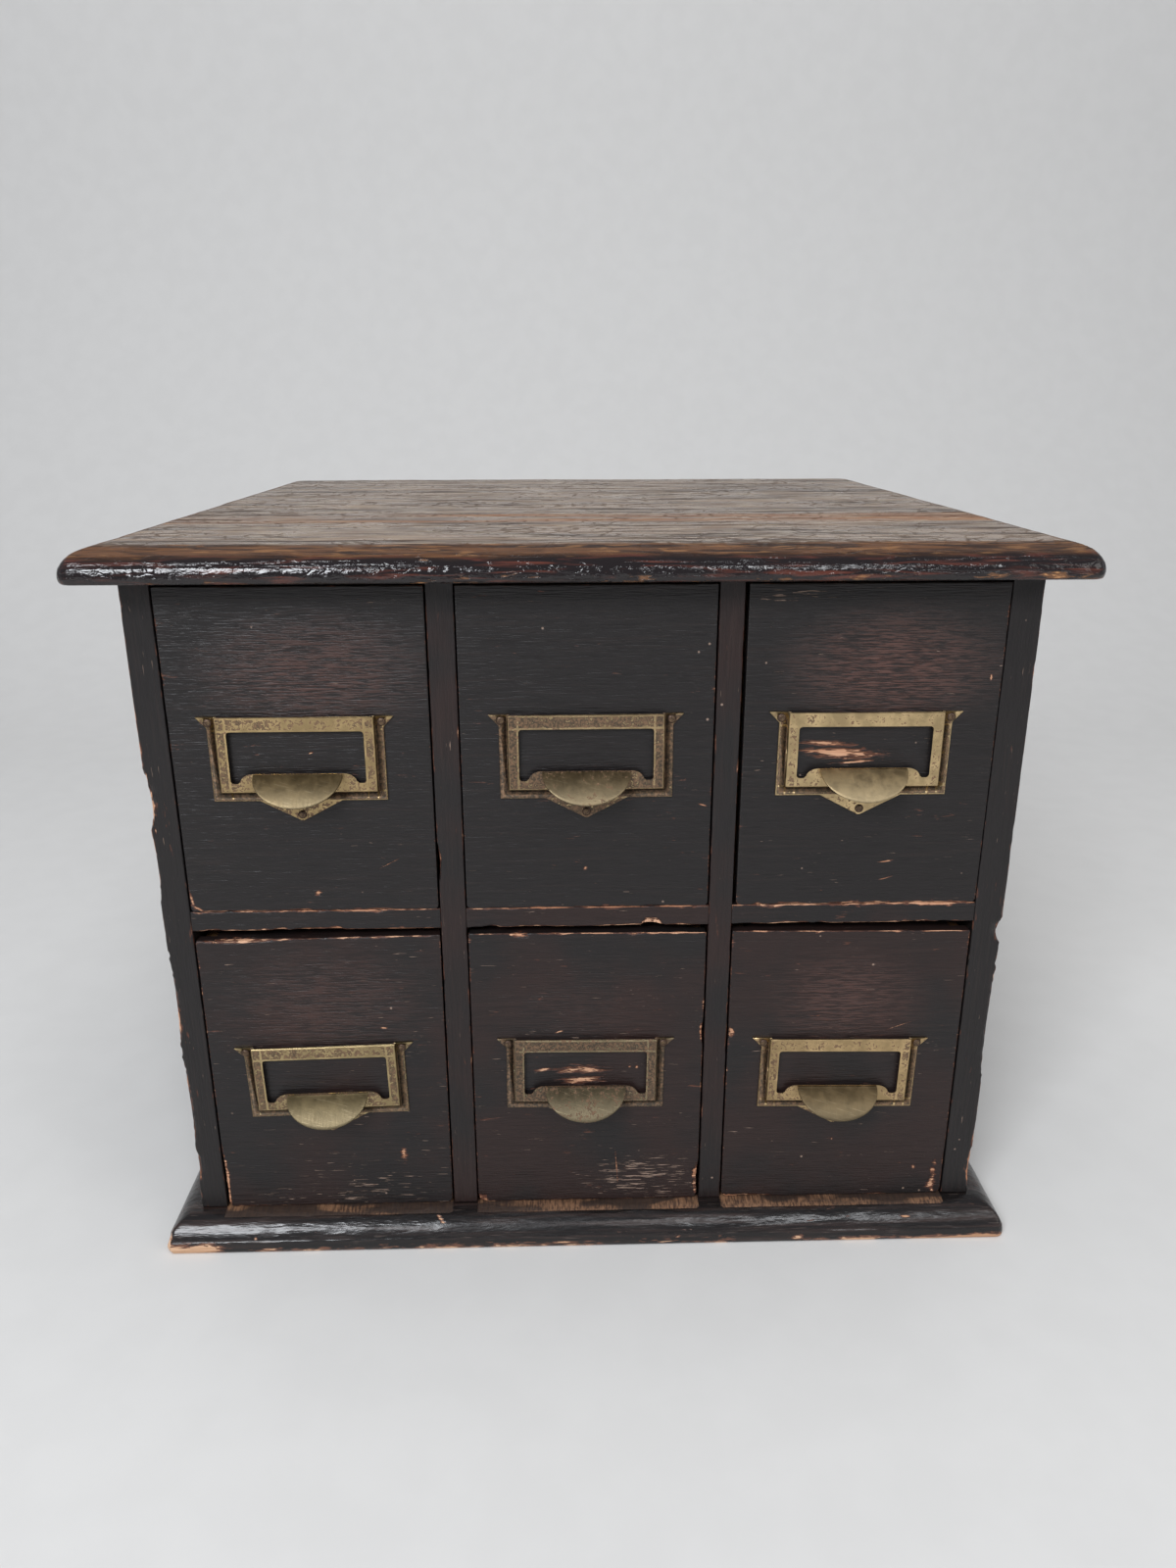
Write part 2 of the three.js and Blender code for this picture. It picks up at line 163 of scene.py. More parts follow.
def arris_weights(points, low, high, weights, other):
    """How hard each point's nearest arris is worn, and how far off it is.

    weights maps a face that meets the front to an amount; other holds for every other arris.
    """
    gaps = np.empty((len(points), 6))
    gaps[:, ::2] = points - low
    gaps[:, 1::2] = high - points
    total = np.zeros(len(points))
    share = np.full(len(points), 1e-9)
    for first, second in combinations(range(6), 2):
        if first // 2 == second // 2:
            continue
        names = {FACES[first], FACES[second]}
        meets_front = (names - {"front"}).pop() if "front" in names else None
        near = np.exp(-np.hypot(gaps[:, first], gaps[:, second]) / ARRIS_REACH)
        total += weights.get(meets_front, other) * near
        share += near
    return total / share, np.sort(gaps, axis=1)[:, 1]


def round_and_wear(points, low, high, weights, other=0.25, radius=0.5, loss=1.4, seed=0):
    """Rounds a board's arrises, more where they are worn, and returns the points and their wear."""
    amount, edge = arris_weights(points, low, high, weights, other)
    patches = 0.6 * noise(points, 11, seed) + 0.4 * noise(points, 3, seed + 1)
    bitten = amount * smooth(0.48, 0.8, patches)
    reach = (radius + loss * bitten)[:, None] * MM
    core = np.clip(points, low + reach, high - reach)
    out = points - core
    length = np.linalg.norm(out, axis=1, keepdims=True)
    rounded = core + out / np.maximum(length, 1e-9) * reach
    width = (0.5 + 1.4 * amount * patches + 1.6 * bitten) * MM
    wear = np.clip(amount * 1.25, 0, 1) * smooth(1, 0, edge / width)
    return rounded, np.maximum(wear, 0.9 * bitten * smooth(1, 0, edge / (2.2 * MM)))


def bite(points, wear, low, high, chips, seed=0):
    """Splits wood off at chips: centre and size in millimetres from the low corner, depth, bareness."""
    core = np.clip(points, low + 4 * MM, high - 4 * MM)
    inward = core - points
    inward /= np.maximum(np.linalg.norm(inward, axis=1, keepdims=True), 1e-9)
    ragged = 0.7 + 0.6 * noise(points, 1.8, seed)
    for centre, size, depth, bareness in chips:
        away = (points - (low + np.array(centre) * MM)) / (np.array(size) * MM)
        inside = 1 - np.linalg.norm(away, axis=1) * ragged
        points = points + inward * (depth * MM * np.sqrt(np.clip(inside, 0, 1)))[:, None]
        wear = np.maximum(wear, bareness * smooth(-0.1, 0.25, inside))
    return points, wear


def board(node, body, slot, material, step, weights, other=0.2, chips=(), seed=0, **shape):
    """A plain board in a CAD node's place, with worn arrises."""
    low, high = (np.array(corner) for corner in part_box(node))
    points, quads = box_grid([cuts(low[a], high[a], step[a]) for a in range(3)])
    points, wear = round_and_wear(points, low, high, weights, other, seed=seed, **shape)
    points, wear = bite(points, wear, low, high, chips, seed)
    piece = make_object(f"{node}_board", points, quads, [material], wear=wear)
    return stand_for(piece, node, body)


# ---- shader building


class Shader:
    """One node material. Each method adds nodes and returns the socket that holds their result."""

    def __init__(self, name):
        self.material = bpy.data.materials.new(name)
        self.material.use_nodes = True
        self.tree = self.material.node_tree
        self.place = self.add("ShaderNodeTexCoord").outputs["Object"]

    def feed(self, node, inputs):
        """Links or sets a node's inputs."""
        for key, value in inputs.items():
            if isinstance(value, bpy.types.NodeSocket):
                self.tree.links.new(value, node.inputs[key])
            else:
                node.inputs[key].default_value = value

    def add(self, kind, inputs=None, **settings):
        node = self.tree.nodes.new(kind)
        for key, value in settings.items():
            setattr(node, key, value)
        self.feed(node, inputs or {})
        return node

    def stretched(self, size, turn=0.0, centre=(0, 0, 0)):
        """Coordinates about centre in units of size (both in millimetres), turned about Y."""
        inputs = {"Vector": self.place, "Location": [c * MM for c in centre],
                  "Scale": [c * MM for c in size], "Rotation": (0, radians(turn), 0)}
        return self.add("ShaderNodeMapping", inputs, vector_type="TEXTURE").outputs["Vector"]

    def noise(self, size, detail=2, seed=0, distortion=0, turn=0, rough=0.5):
        place = self.stretched(size, turn, (seed * 37, seed * 91, seed * 53))
        inputs = {"Vector": place, "Scale": 1, "Detail": detail, "Distortion": distortion, "Roughness": rough}
        return self.add("ShaderNodeTexNoise", inputs).outputs["Fac"]

    def grain(self, axis, length, width, *rest):
        """Noise drawn out along the grain."""
        size = [width] * 3
        size[axis] = length
        return self.noise(size, *rest)

    def cells(self, feature, size, centre):
        inputs = {"Vector": self.stretched(size, 0, centre), "Scale": 1}
        return self.add("ShaderNodeTexVoronoi", inputs, feature=feature).outputs["Distance"]

    def cracks(self, size, seed):
        """Distance to the nearest line of a net of cells, in units of size."""
        return self.cells("DISTANCE_TO_EDGE", size, (seed * 23, seed * 61, seed * 13))

    def specks(self, size, seed):
        """Distance to the nearest of many scattered points, in units of size."""
        return self.cells("F1", size, (seed * 31, seed * 17, seed * 43))

    def spot(self, x, z, half_width, half_height, slope=0):
        """Distance from a point on the front, in units of an ellipse's half sizes."""
        place = self.stretched((half_width, 1e6, half_height), -slope, (x, 0, z))
        return self.add("ShaderNodeVectorMath", {0: place}, operation="LENGTH").outputs["Value"]

    def nearest(self, spots):
        """Distance to the nearest of several spots."""
        total = 100.0
        for spot in spots:
            total = self.math("MINIMUM", self.spot(*spot), total)
        return total

    def attribute(self, name):
        return self.add("ShaderNodeAttribute", attribute_name=name).outputs["Fac"]

    def axis(self, index):
        return self.add("ShaderNodeSeparateXYZ", {0: self.place}).outputs[index]

    def math(self, operation, first, second=0.0):
        return self.add("ShaderNodeMath", {0: first, 1: second}, operation=operation).outputs[0]

    def sum(self, *terms):
        """Adds terms, each a socket or a (socket, factor) pair."""
        total = 0.0
        for term in terms:
            value = self.math("MULTIPLY", *term) if isinstance(term, tuple) else term
            total = self.math("ADD", value, total)
        return total

    def product(self, *terms):
        total = terms[0]
        for term in terms[1:]:
            total = self.math("MULTIPLY", total, term)
        return total

    def step(self, value, low, high, top=1):
        """0 below low, top above high and smooth between them. Falls instead where low is above high."""
        ends = (low, high, 0, top) if low < high else (high, low, top, 0)
        inputs = dict(zip(("From Min", "From Max", "To Min", "To Max"), ends), Value=value)
        node = self.add("ShaderNodeMapRange", inputs, interpolation_type="SMOOTHSTEP")
        return node.outputs["Result"]

    def lerp(self, amount, low, high):
        return self.add("ShaderNodeMix", {0: amount, 2: low, 3: high}, data_type="FLOAT").outputs[0]

    def blend(self, amount, under, over):
        return self.add("ShaderNodeMix", {0: amount, 6: under, 7: over}, data_type="RGBA").outputs[2]

    def layers(self, colour, *over):
        """A colour with others laid over it in turn, each a (mask, colour) pair."""
        for mask, top in over:
            colour = self.blend(mask, colour, top)
        return colour

    def bump(self, height, strength, depth, under=None):
        """Relief from a 0-1 height, depth in millimetres."""
        inputs = {"Height": height, "Strength": strength, "Distance": depth * MM}
        if under is not None:
            inputs["Normal"] = under
        return self.add("ShaderNodeBump", inputs).outputs["Normal"]

    def finish(self, colour, roughness, normal=None, metallic=0.0, specular=0.5):
        inputs = {"Base Color": colour, "Roughness": roughness, "Metallic": metallic,
                  "Specular IOR Level": specular}
        if normal is not None:
            inputs["Normal"] = normal
        self.feed(self.tree.nodes["Principled BSDF"], inputs)
        return self.material


# ---- wood finishes


def bare_wood_colour(s, grain, light, dark, seed=0):
    """Colour of unfinished wood: soft bands, fine fibres and dark pores."""
    bands = s.grain(grain, 160, 7, 3, seed, 0.6)
    fibres = s.grain(grain, 30, 0.7, 2, seed + 1)
    tone = s.sum((bands, 0.65), (fibres, 0.35))
    return s.blend(s.step(tone, 0.36, 0.66), dark, light)


BLACK = srgb(12, 10, 10)
CHARCOAL = srgb(29, 26, 26)
BROWN_BLACK = srgb(40, 28, 26)
STREAK_BROWN = srgb(60, 47, 43)
RED_BROWN = srgb(90, 63, 56)
THIN_STAIN = srgb(92, 56, 42)
BARE_LIGHT = srgb(208, 165, 134)
BARE_DARK = srgb(164, 112, 82)
# Pale colour of nicks and scratches, also used for painted glints of light on the grain.
NICK_AND_GLINT = srgb(152, 129, 114)
STAIN_SHINE = 0.32


def torn_wear(s, grain, seed):
    """Wear from the mesh, made ragged: masks for thinned stain and for bare wood."""
    flakes = s.grain(grain, 6, 1.1, 3, seed, 0.5)
    patches = s.grain(grain, 18, 7, 2, seed + 1)
    edge = s.sum(s.attribute("wear"), (flakes, 1.9), (patches, 1.5))
    return (s.step(edge, 2.2, 2.45), s.step(edge, 2.55, 2.68)), flakes


def marked(s, wear, places, ragged, bare_at, thin_at):
    """Adds places of bare wood with ragged edges to the masks from torn_wear."""
    edge = s.sum(s.nearest(places), *ragged)
    thinned, bared = wear
    thinned = s.math("MAXIMUM", thinned, s.step(edge, *thin_at))
    return thinned, s.math("MAXIMUM", bared, s.step(edge, *bare_at))


def black_finish(name, grain, brownness, seed=0, low=(0, 0), rubs=(), marks=(), scuffs=(), scuffed=0.3):
    """Old black stain over wood. rubs, marks and scuffs are places in millimetres from low."""
    s = Shader(name)
    cloud = s.noise((50, 50, 50), 3, seed)
    streaks = s.grain(grain, 38, 1.4, 3, seed + 1, 0.4)
    ridges = s.grain(grain, 15, 0.85, 2, seed + 2, 0.6)
    fine = s.grain(grain, 6, 0.45, 2, seed + 3)
    crowd = s.noise((20, 20, 12), 2, seed + 4)

    def here(places):
        return [(x + low[0], z + low[1], *rest) for x, z, *rest in places]

    tone = s.sum((cloud, 0.92), (streaks, 0.08))
    brown_from = 0.68 - brownness * 0.5
    worn_off = s.sum(*[(s.step(s.spot(*place), 1.7, 0.2), gain) for *place, gain in here(rubs)])
    rubbed = s.product(worn_off, s.sum(s.step(s.sum((ridges, 0.5), (fine, 0.5)), 0.44, 0.57), 0.1), 0.85)
    zone = s.sum(*[(s.step(s.spot(*place), 1.5, 0.3), gain) for *place, gain in here(scuffs)])
    # Pale dashes and specks along the grain: partly real nicks and scratches, partly painted glints of light.
    dashes = s.grain(grain, 9, 0.55, 2, seed + 5, 0.5)
    nicks_and_glints = s.step(s.sum(dashes, (crowd, 0.22), zone, scuffed * 0.1), 0.885, 0.93)
    dents = s.step(s.specks((15, 15, 15), seed), 0.05, 0.03)
    nicks_and_glints = s.math("MAXIMUM", nicks_and_glints, s.product(dents, s.step(crowd, 0.48, 0.56)))
    wear, flakes = torn_wear(s, grain, seed + 6)
    if marks:
        wear = marked(s, wear, here(marks), ((flakes, 2.4), (fine, 1.1)), (2.42, 2.2), (2.9, 2.5))
    thinned, bared = wear
    colour = s.layers(
        CHARCOAL,
        (s.step(tone, brown_from, brown_from + 0.26), BROWN_BLACK),
        (s.step(streaks, 0.5, 0.76, 0.16), STREAK_BROWN),
        (s.step(ridges, 0.5, 0.34, 0.24), BLACK),
        (rubbed, RED_BROWN),
        (s.product(nicks_and_glints, 0.7), NICK_AND_GLINT),
        (s.product(thinned, 0.85), THIN_STAIN),
        (bared, bare_wood_colour(s, grain, BARE_LIGHT, BARE_DARK, seed + 9)))

    roughness = s.sum((ridges, 0.24), (rubbed, 0.1), (thinned, 0.08), (bared, 0.12), 0.24)
    relief = s.sum((ridges, 0.7), (fine, 0.35), (s.product(rubbed, ridges), 0.9), (bared, -0.7),
                   (thinned, -0.25), (nicks_and_glints, -0.3))
    normal = s.bump(relief, 1.0, 0.4)
    normal = s.bump(s.noise((17, 17, 9), 2, seed + 8), 0.6, 0.5, normal)
    return s.finish(colour, roughness, normal, specular=STAIN_SHINE)


def top_finish(name, seed, stripe):
    """Brown-black varnish gone thin and crazed on top, still dark and glossy round the moulding."""
    s = Shader(name)
    moulding = s.attribute("moulding")
    bands = s.grain(X, 260, 16, 3, seed, 0.5)
    streaks = s.grain(X, 60, 4, 4, seed + 1, 0.5)
    fine = s.grain(X, 16, 2, 3, seed + 2, 0.3)
    blotches = s.grain(X, 45, 22, 4, seed + 3, 1.0)
    net = s.sum(s.cracks((10, 7, 7), seed), (fine, 0.2), (blotches, 0.7))
    crazed = s.step(net, 0.52, 0.4, 0.75)

    from_stripe = s.product(s.step(s.axis(Y), stripe[0] - 5 * MM, stripe[0] + 3 * MM),
                            s.step(s.axis(Y), stripe[1] + 6 * MM, stripe[1] - 4 * MM))
    in_stripe = s.product(from_stripe, s.step(bands, 0.36, 0.6))
    grooves = s.math("MAXIMUM", crazed, s.step(streaks, 0.45, 0.36))
    worn = s.layers(
        srgb(72, 52, 37),
        (s.step(s.sum((bands, 0.5), (streaks, 0.5)), 0.4, 0.6), srgb(118, 90, 64)),
        (s.product(in_stripe, 0.9), srgb(136, 86, 46)),
        (s.step(fine, 0.53, 0.64, 0.55), srgb(178, 162, 138)),
        (s.product(grooves, 0.68), srgb(38, 27, 20)))

    red = s.grain(X, 26, 2.2, 3, seed + 4, 0.6)
    low = s.blend(s.step(red, 0.5, 0.75), srgb(22, 16, 17), srgb(84, 44, 34))
    dark = s.layers(
        srgb(42, 26, 18),
        (s.step(red, 0.38, 0.62), srgb(90, 59, 36)),
        (s.step(fine, 0.55, 0.64, 0.5), srgb(136, 96, 58)),
        (s.step(s.sum(moulding, (blotches, 0.5), (red, 0.4)), 1.45, 1.8), low))
    (thinned, bared), _ = torn_wear(s, X, seed + 5)
    colour = s.layers(
        worn,
        (s.step(s.sum(moulding, (streaks, 0.3)), 0.3, 0.55), dark),
        (s.product(thinned, 0.7), srgb(116, 78, 48)),
        (bared, bare_wood_colour(s, X, srgb(188, 140, 92), srgb(134, 88, 54), seed + 7)))

    glossy = s.step(moulding, 0.85, 1.2)
    lumps = s.noise((6, 6, 3.6), 3, seed + 8, 1.2)
    rough = s.sum((grooves, 0.4), (s.step(blotches, 0.46, 0.66), 0.14), (fine, 0.2), (in_stripe, 0.2),
                  (s.step(moulding, 0.1, 0.5), 0.3), 0.14)
    roughness = s.sum(s.lerp(glossy, rough, 0.07), (thinned, 0.2), (bared, 0.25))
    normal = s.bump(s.sum((streaks, 0.6), (fine, 0.6), (grooves, -0.6), (thinned, -0.5)), 0.8, 0.3)
    normal = s.bump(s.product(lumps, glossy), 1.0, 0.5, normal)
    return s.finish(colour, roughness, normal)


def base_finish(name, seed, marks):
    """Thick black gloss on the base, with worn, splintered and rubbed places."""
    s = Shader(name)
    tracks = s.attribute("tracks")
    streaks = s.grain(X, 60, 2.6, 3, seed)
    fine = s.grain(X, 12, 0.8, 2, seed + 1)
    wear, flakes = torn_wear(s, X, seed + 2)
    thinned, bared = marked(s, wear, marks, ((flakes, 2.6), (fine, 1)), (2.35, 2.15), (2.8, 2.4))
    strokes = s.grain(Y, 12, 0.9, 3, seed + 5)
    patches = s.noise((44, 12, 12), 2, seed + 6)
    track_wood = s.layers(
        srgb(60, 41, 30),
        (s.step(strokes, 0.34, 0.66), srgb(120, 88, 64)),
        (s.step(patches, 0.43, 0.52, 0.9), srgb(40, 29, 24)))
    worn = s.step(s.sum(tracks, (fine, 0.3)), 0.6, 0.72)
    colour = s.layers(
        srgb(20, 17, 17),
        (s.step(streaks, 0.42, 0.7), srgb(44, 33, 30)),
        (s.step(fine, 0.62, 0.72, 0.35), srgb(96, 84, 78)),
        (s.product(thinned, 0.8), srgb(112, 72, 54)),
        (bared, bare_wood_colour(s, X, srgb(214, 178, 146), srgb(168, 122, 90), seed + 4)),
        (worn, track_wood))

    roughness = s.sum((streaks, 0.2), (s.math("MAXIMUM", bared, worn), 0.4), (thinned, 0.14), 0.15)
    relief = s.sum((streaks, 0.4), (fine, 0.3), (bared, -0.9), (thinned, -0.3), (worn, -0.5))
    normal = s.bump(relief, 0.6, 0.3)
    normal = s.bump(s.noise((16, 5, 4), 3, seed + 7), 0.8, 0.8, normal)
    return s.finish(colour, roughness, normal)


def raw_finish(name, grain, seed, light=srgb(176, 132, 88), dark=srgb(116, 78, 48)):
    """Unfinished old softwood, with stains, dirt and saw marks across the grain."""
    s = Shader(name)
    stain = s.noise((70, 70, 70), 4, seed + 2)
    fibres = s.grain(grain, 24, 0.6, 2, seed + 3)
    saw = s.grain(grain, 1.6, 40, 1, seed + 4)
    colour = s.layers(
        bare_wood_colour(s, grain, light, dark, seed),
        (s.step(stain, 0.48, 0.75, 0.5), srgb(82, 60, 44)),
        (s.step(fibres, 0.6, 0.72, 0.5), srgb(78, 52, 34)),
        (s.step(s.attribute("wear"), 0.02, 0.3, 0.45), srgb(86, 62, 44)))
    normal = s.bump(s.sum((fibres, 0.7), (saw, 0.3)), 0.5, 0.15)
    return s.finish(colour, s.sum((fibres, 0.2), 0.62), normal)


# ---- metal finishes


def brass_finish(name, tone, patina, shine, seed):
    """Stamped brass: satin where it stands proud, brown in the channels, speckled all over, with a painted
    reflection on the hood's lower part.
    """
    s = Shader(name)
    across = s.math("ABSOLUTE", s.product(s.axis(X), 1 / MM))
    out = s.product(s.axis(Y), -1 / MM)
    up = s.product(s.axis(Z), 1 / MM)

    def line(value, place, reach=0.8):
        return s.step(s.math("ABSOLUTE", s.math("SUBTRACT", value, place)), reach, 0.25 * reach)

    rims = line(across, FRAME_HALF)
    for value, place in ((up, FRAME_FOOT), (across, WINDOW_HALF), (up, WINDOW_TOP), (across, PLATE_HALF),
                         (up, PLATE_FOOT), (up, -0.3)):
        rims = s.math("MAXIMUM", rims, line(value, place))
    proud = s.step(out, 1.3, 2.5)
    hood = s.step(out, 3.2, 4.4)
    rims = s.product(rims, s.step(hood, 1, 0))
    ears = s.product(s.step(up, -EAR_DROP - 1, -EAR_DROP + 1), s.step(across, FRAME_HALF, FRAME_HALF + 1))
    foot = s.step(up, PLATE_FOOT + 1, PLATE_FOOT - 1)
    left = s.step(s.axis(X), 0.01, -0.03)
    cloud = s.noise((12, 12, 12), 3, seed)
    grit = s.noise((1.4, 1.4, 1.4), 3, seed + 1, 0.6, rough=0.65)
    blotch = s.noise((4.5, 4.5, 4.5), 3, seed + 2, 0.5)
    varied = s.step(s.sum((cloud, 0.6), (blotch, 0.4)), 0.38, 0.66)
    clean = s.blend(varied, scaled(tone, 0.9), scaled(tone, 1.5))
    # low grows from 5 mm out to the hood's free edge; there the hood's film colour is blended half way to a
    # pale grey, a painted reflection of the bright room.
    low = s.step(out, 5, HOOD_PROUD)
    hood_film_and_painted_sheen = s.step(s.sum((cloud, 0.5), (blotch, 0.5)), 0.36, 0.64)
    hood_film_and_painted_sheen = s.blend(hood_film_and_painted_sheen, scaled(tone, 0.42 * shine), scaled(tone, 0.68 * shine))
    hood_film_and_painted_sheen = s.blend(s.product(low, 0.5), hood_film_and_painted_sheen, scaled(srgb(118, 108, 88), shine))
    clean = s.blend(hood, clean, hood_film_and_painted_sheen)
    tarnish = s.blend(s.step(grit, 0.4, 0.65), srgb(36, 27, 22), srgb(114, 86, 64))
    bars = s.product(s.step(across, WINDOW_HALF - 3, WINDOW_HALF), proud)
    cover = s.sum((grit, 2.0), (blotch, 1.1), (cloud, 0.5), (proud, -0.55), (hood, -0.5), (ears, -0.45),
                  (foot, -0.5), (rims, -0.5), (bars, 0.12), (left, 0.08), patina)
    covered = s.step(cover, 1.29, 1.36)
    colour = s.blend(s.product(covered, 0.9), clean, tarnish)
    brushed = s.noise((0.6, 7, 7), 2, seed + 3)
    scores = s.product(s.step(s.noise((9, 9, 0.3), 1, seed + 4, turn=12), 0.64, 0.7), 0.25)
    colour = s.blend(s.product(scores, hood), colour, srgb(176, 160, 128))
    roughness = s.sum((covered, 0.22), (brushed, 0.2), (blotch, 0.12), (hood, 0.14), 0.2)
    normal = s.bump(s.sum((grit, 0.6), (blotch, 0.5), (covered, -0.5)), 0.5, 0.16)
    return s.finish(colour, roughness, normal, s.lerp(covered, 1.0, 0.35))


def screw_finish(name, seed):
    """Small brass screws gone almost black, lighter on the crown: partly brass rubbed by a driver, partly a
    painted highlight.
    """
    s = Shader(name)
    grit = s.noise((0.5, 0.5, 0.5), 3, seed)
    # Lighter towards the crown of the dome: a painted highlight, broken up by grit like rubbed brass.
    worn = s.step(s.sum((grit, 0.8), (s.axis(Y), -300)), 0.62, 0.85)
    colour = s.blend(worn, srgb(72, 56, 46), srgb(150, 126, 92))
    return s.finish(colour, s.sum((grit, 0.25), 0.3), s.bump(grit, 0.4, 0.08), 0.7)


# ---- case boards

SIDE = dict(grain=Z, step=(3, 5, 1.5))
DIVIDER = dict(grain=Z, step=(3, 12, 1.5))
SHELF = dict(grain=X, step=(1.5, 12, 3))
# Chips: centre and size in millimetres from the board's low corner, depth, bareness.
CASE_BOARDS = {
    "side_left": dict(
        SIDE, weights={"left": 0.62, "right": 0.3}, brownness=0.2, seed=11,
        chips=[((0, 0, 222), (3.0, 9, 15), 2.4, 0.85), ((0, 0, 190), (1.6, 6, 16), 1.0, 0.3),
               ((0, 0, 120), (2, 6, 24), 1.3, 0.7), ((0, 0, 60), (2, 6, 34), 1.4, 0.75),
               ((0, 0, 24), (2.4, 5, 10), 1.2, 0.8), ((15, 0, 44), (1.4, 3, 32), 0.8, 0.75)]),
    "side_right": dict(
        SIDE, weights={"right": 0.5, "left": 0.3}, brownness=0.15, seed=12,
        chips=[((14, 0, 152), (3.4, 8, 6), 2.6, 0.5), ((14, 0, 100), (1.8, 5, 34), 1.2, 0.45),
               ((14, 0, 16), (2, 6, 12), 1.2, 0.8)]),
    "divider_left": dict(
        DIVIDER, weights={"left": 0.42, "right": 0.36}, brownness=0.6, seed=13,
        chips=[((0, 0, 192), (1.4, 5, 9), 1.2, 0.9)]),
    "divider_right": dict(DIVIDER, weights={"left": 0.36, "right": 0.42}, brownness=0.55, seed=14),
    "shelf_left": dict(SHELF, weights={"top": 1.0, "under": 1.1}, brownness=0.5, seed=15),
    "shelf_centre": dict(
        SHELF, weights={"top": 0.9, "under": 0.8}, brownness=0.8, seed=16,
        chips=[((88, 0, 1), (6, 5, 2.6), 2.0, 1), ((12, 0, 0), (4, 3, 1.4), 0.9, 0.9)]),
    "shelf_right": dict(SHELF, weights={"top": 1.15, "under": 0.75}, brownness=0.5, seed=17),
}


def make_case():
    for node, facts in CASE_BOARDS.items():
        look = (facts["grain"], facts["brownness"], facts["seed"])
        stain = black_finish(f"{node}_stain", *look, scuffed=0.4)
        shape = {key: facts[key] for key in ("step", "weights", "seed", "chips") if key in facts}
        board(node, "case", "case_wood", stain, **shape)
    back = raw_finish("back_panel_wood", X, 18, srgb(120, 88, 60), srgb(74, 50, 34))
    board("back_panel", "case", "case_wood", back, (8, 2, 8), {}, 0.4, seed=18)


# ---- moulded boards


def edge_profile(width, thickness, rise):
    """Inset and height along a moulded edge, from the underside up, as evenly spaced samples."""
    angles = np.linspace(0, pi / 2, 60)
    inset = width * (1 - np.cos(angles))
    height = rise + (thickness - rise) * np.sin(angles)
    under = np.linspace(-pi / 2, 0, 12)[:-1]
    inset = np.concatenate([rise * 0.5 * (1 - np.cos(under)), inset])
    height = np.concatenate([rise * (1 + np.sin(under)), height])
    length = np.concatenate([[0], np.cumsum(np.hypot(np.diff(inset), np.diff(height)))])
    even = np.linspace(0, length[-1], 200)
    return np.interp(even, length, inset), np.interp(even, length, height)


def to_profile(points, slab_low, slab_high, profile):
    """Bends the front and both ends of a square slab to the profile."""
    inset, height = profile
    width, thickness = inset[-1], height[-1]
    turn = int(np.argmax(height > thickness * 0.42))
    side = np.minimum(points[:, X] - slab_low[X], slab_high[X] - points[:, X])
    front = points[:, Y] - slab_low[Y]
    distance = np.minimum(side, front)
    level = np.clip((points[:, Z] - slab_low[Z]) / thickness, 0, 1)
    on_wall = distance < 1e-7
    samples = np.arange(len(inset))
    on_top = turn + np.clip(distance / width, 0, 1) * (len(inset) - 1 - turn)
    place = np.where(on_wall, level * turn, on_top)
    new_inset = np.interp(place, samples, inset)
    sunk = level * new_inset + (1 - level) * np.maximum(distance, inset[0])
    new_inset = np.where(on_wall, new_inset, sunk)
    new_inset = np.where(distance > width, distance, new_inset)
    new_height = np.where(on_wall, 1, level) * np.interp(place, samples, height)
    centre = np.clip(points[:, :2], slab_low[:2] + width, (slab_high[X] - width, np.inf))
    away = points[:, :2] - centre
    reach = np.max(np.abs(away), axis=1)
    scale = np.where(reach > 1e-9, (width - new_inset) / np.maximum(width - distance, 1e-9), 1)
    moved = points.copy()
    inside = (distance <= width)[:, None]
    moved[:, :2] = np.where(inside, centre + away * scale[:, None], points[:, :2])
    moved[:, Z] = slab_low[Z] + new_height
    return moved, place / (len(inset) - 1)


def round_corners(points, low, high, radius, depth):
    """Rounds a board's two corners at its low end along depth, seen square to X and depth."""
    plane = [X, depth]
    centre = np.clip(points[:, plane], low[plane] + radius, (high[X] - radius, np.inf))
    away = points[:, plane] - centre
    square = np.max(np.abs(away), axis=1)
    circle = np.maximum(np.linalg.norm(away, axis=1), 1e-9)
    points[:, plane] = centre + away * np.where(square > 0, square / circle, 1)[:, None]
    return points


def moulded_lines(low, high, width, first, last, step):
    """Grid lines of a slab: close over a moulding width at each moulded end and coarse between."""
    start = low + width * np.linspace(0, 1, 15) ** 1.4 if first else low + ARRIS_CUTS
    end = high - width * np.linspace(0, 1, 15)[::-1] ** 1.4 if last else high - ARRIS_CUTS[::-1]
    count = max(1, round((end[0] - start[-1]) / (step * MM)))
    return np.concatenate([start, np.linspace(start[-1], end[0], count + 1)[1:-1], end])


def moulded_slab(node, slab, profile, step, radius, front_moulded):
    """Mesh arrays for one board of a moulded slab, and each point's place along the profile."""
    low, high = (np.array(corner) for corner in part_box(node))
    slab_low, slab_high = slab
    width = profile[0][-1]
    xs = moulded_lines(slab_low[X], slab_high[X], width, True, True, step[0])
    ys = moulded_lines(low[Y], high[Y], width, front_moulded, False, step[1])
    zs = np.linspace(slab_low[Z], slab_high[Z], 14)
    points, quads = box_grid([xs, ys, zs])
    flat = points.copy()
    points, along = to_profile(points, slab_low, slab_high, profile)
    return flat, round_corners(points, slab_low, slab_high, radius, Y), quads, along


TOP_PLANKS = ("top_plank_front", "top_plank_middle", "top_plank_rear")
TOP_MOULDING = 17 * MM
TOP_CORNER = 7 * MM
TOP_CHIPS = ((-73, 5), (-52, 5), (24, 3), (112, 5), (168, 9), (196, 7))


TOP_STRIPE = (18 * MM, 58 * MM)


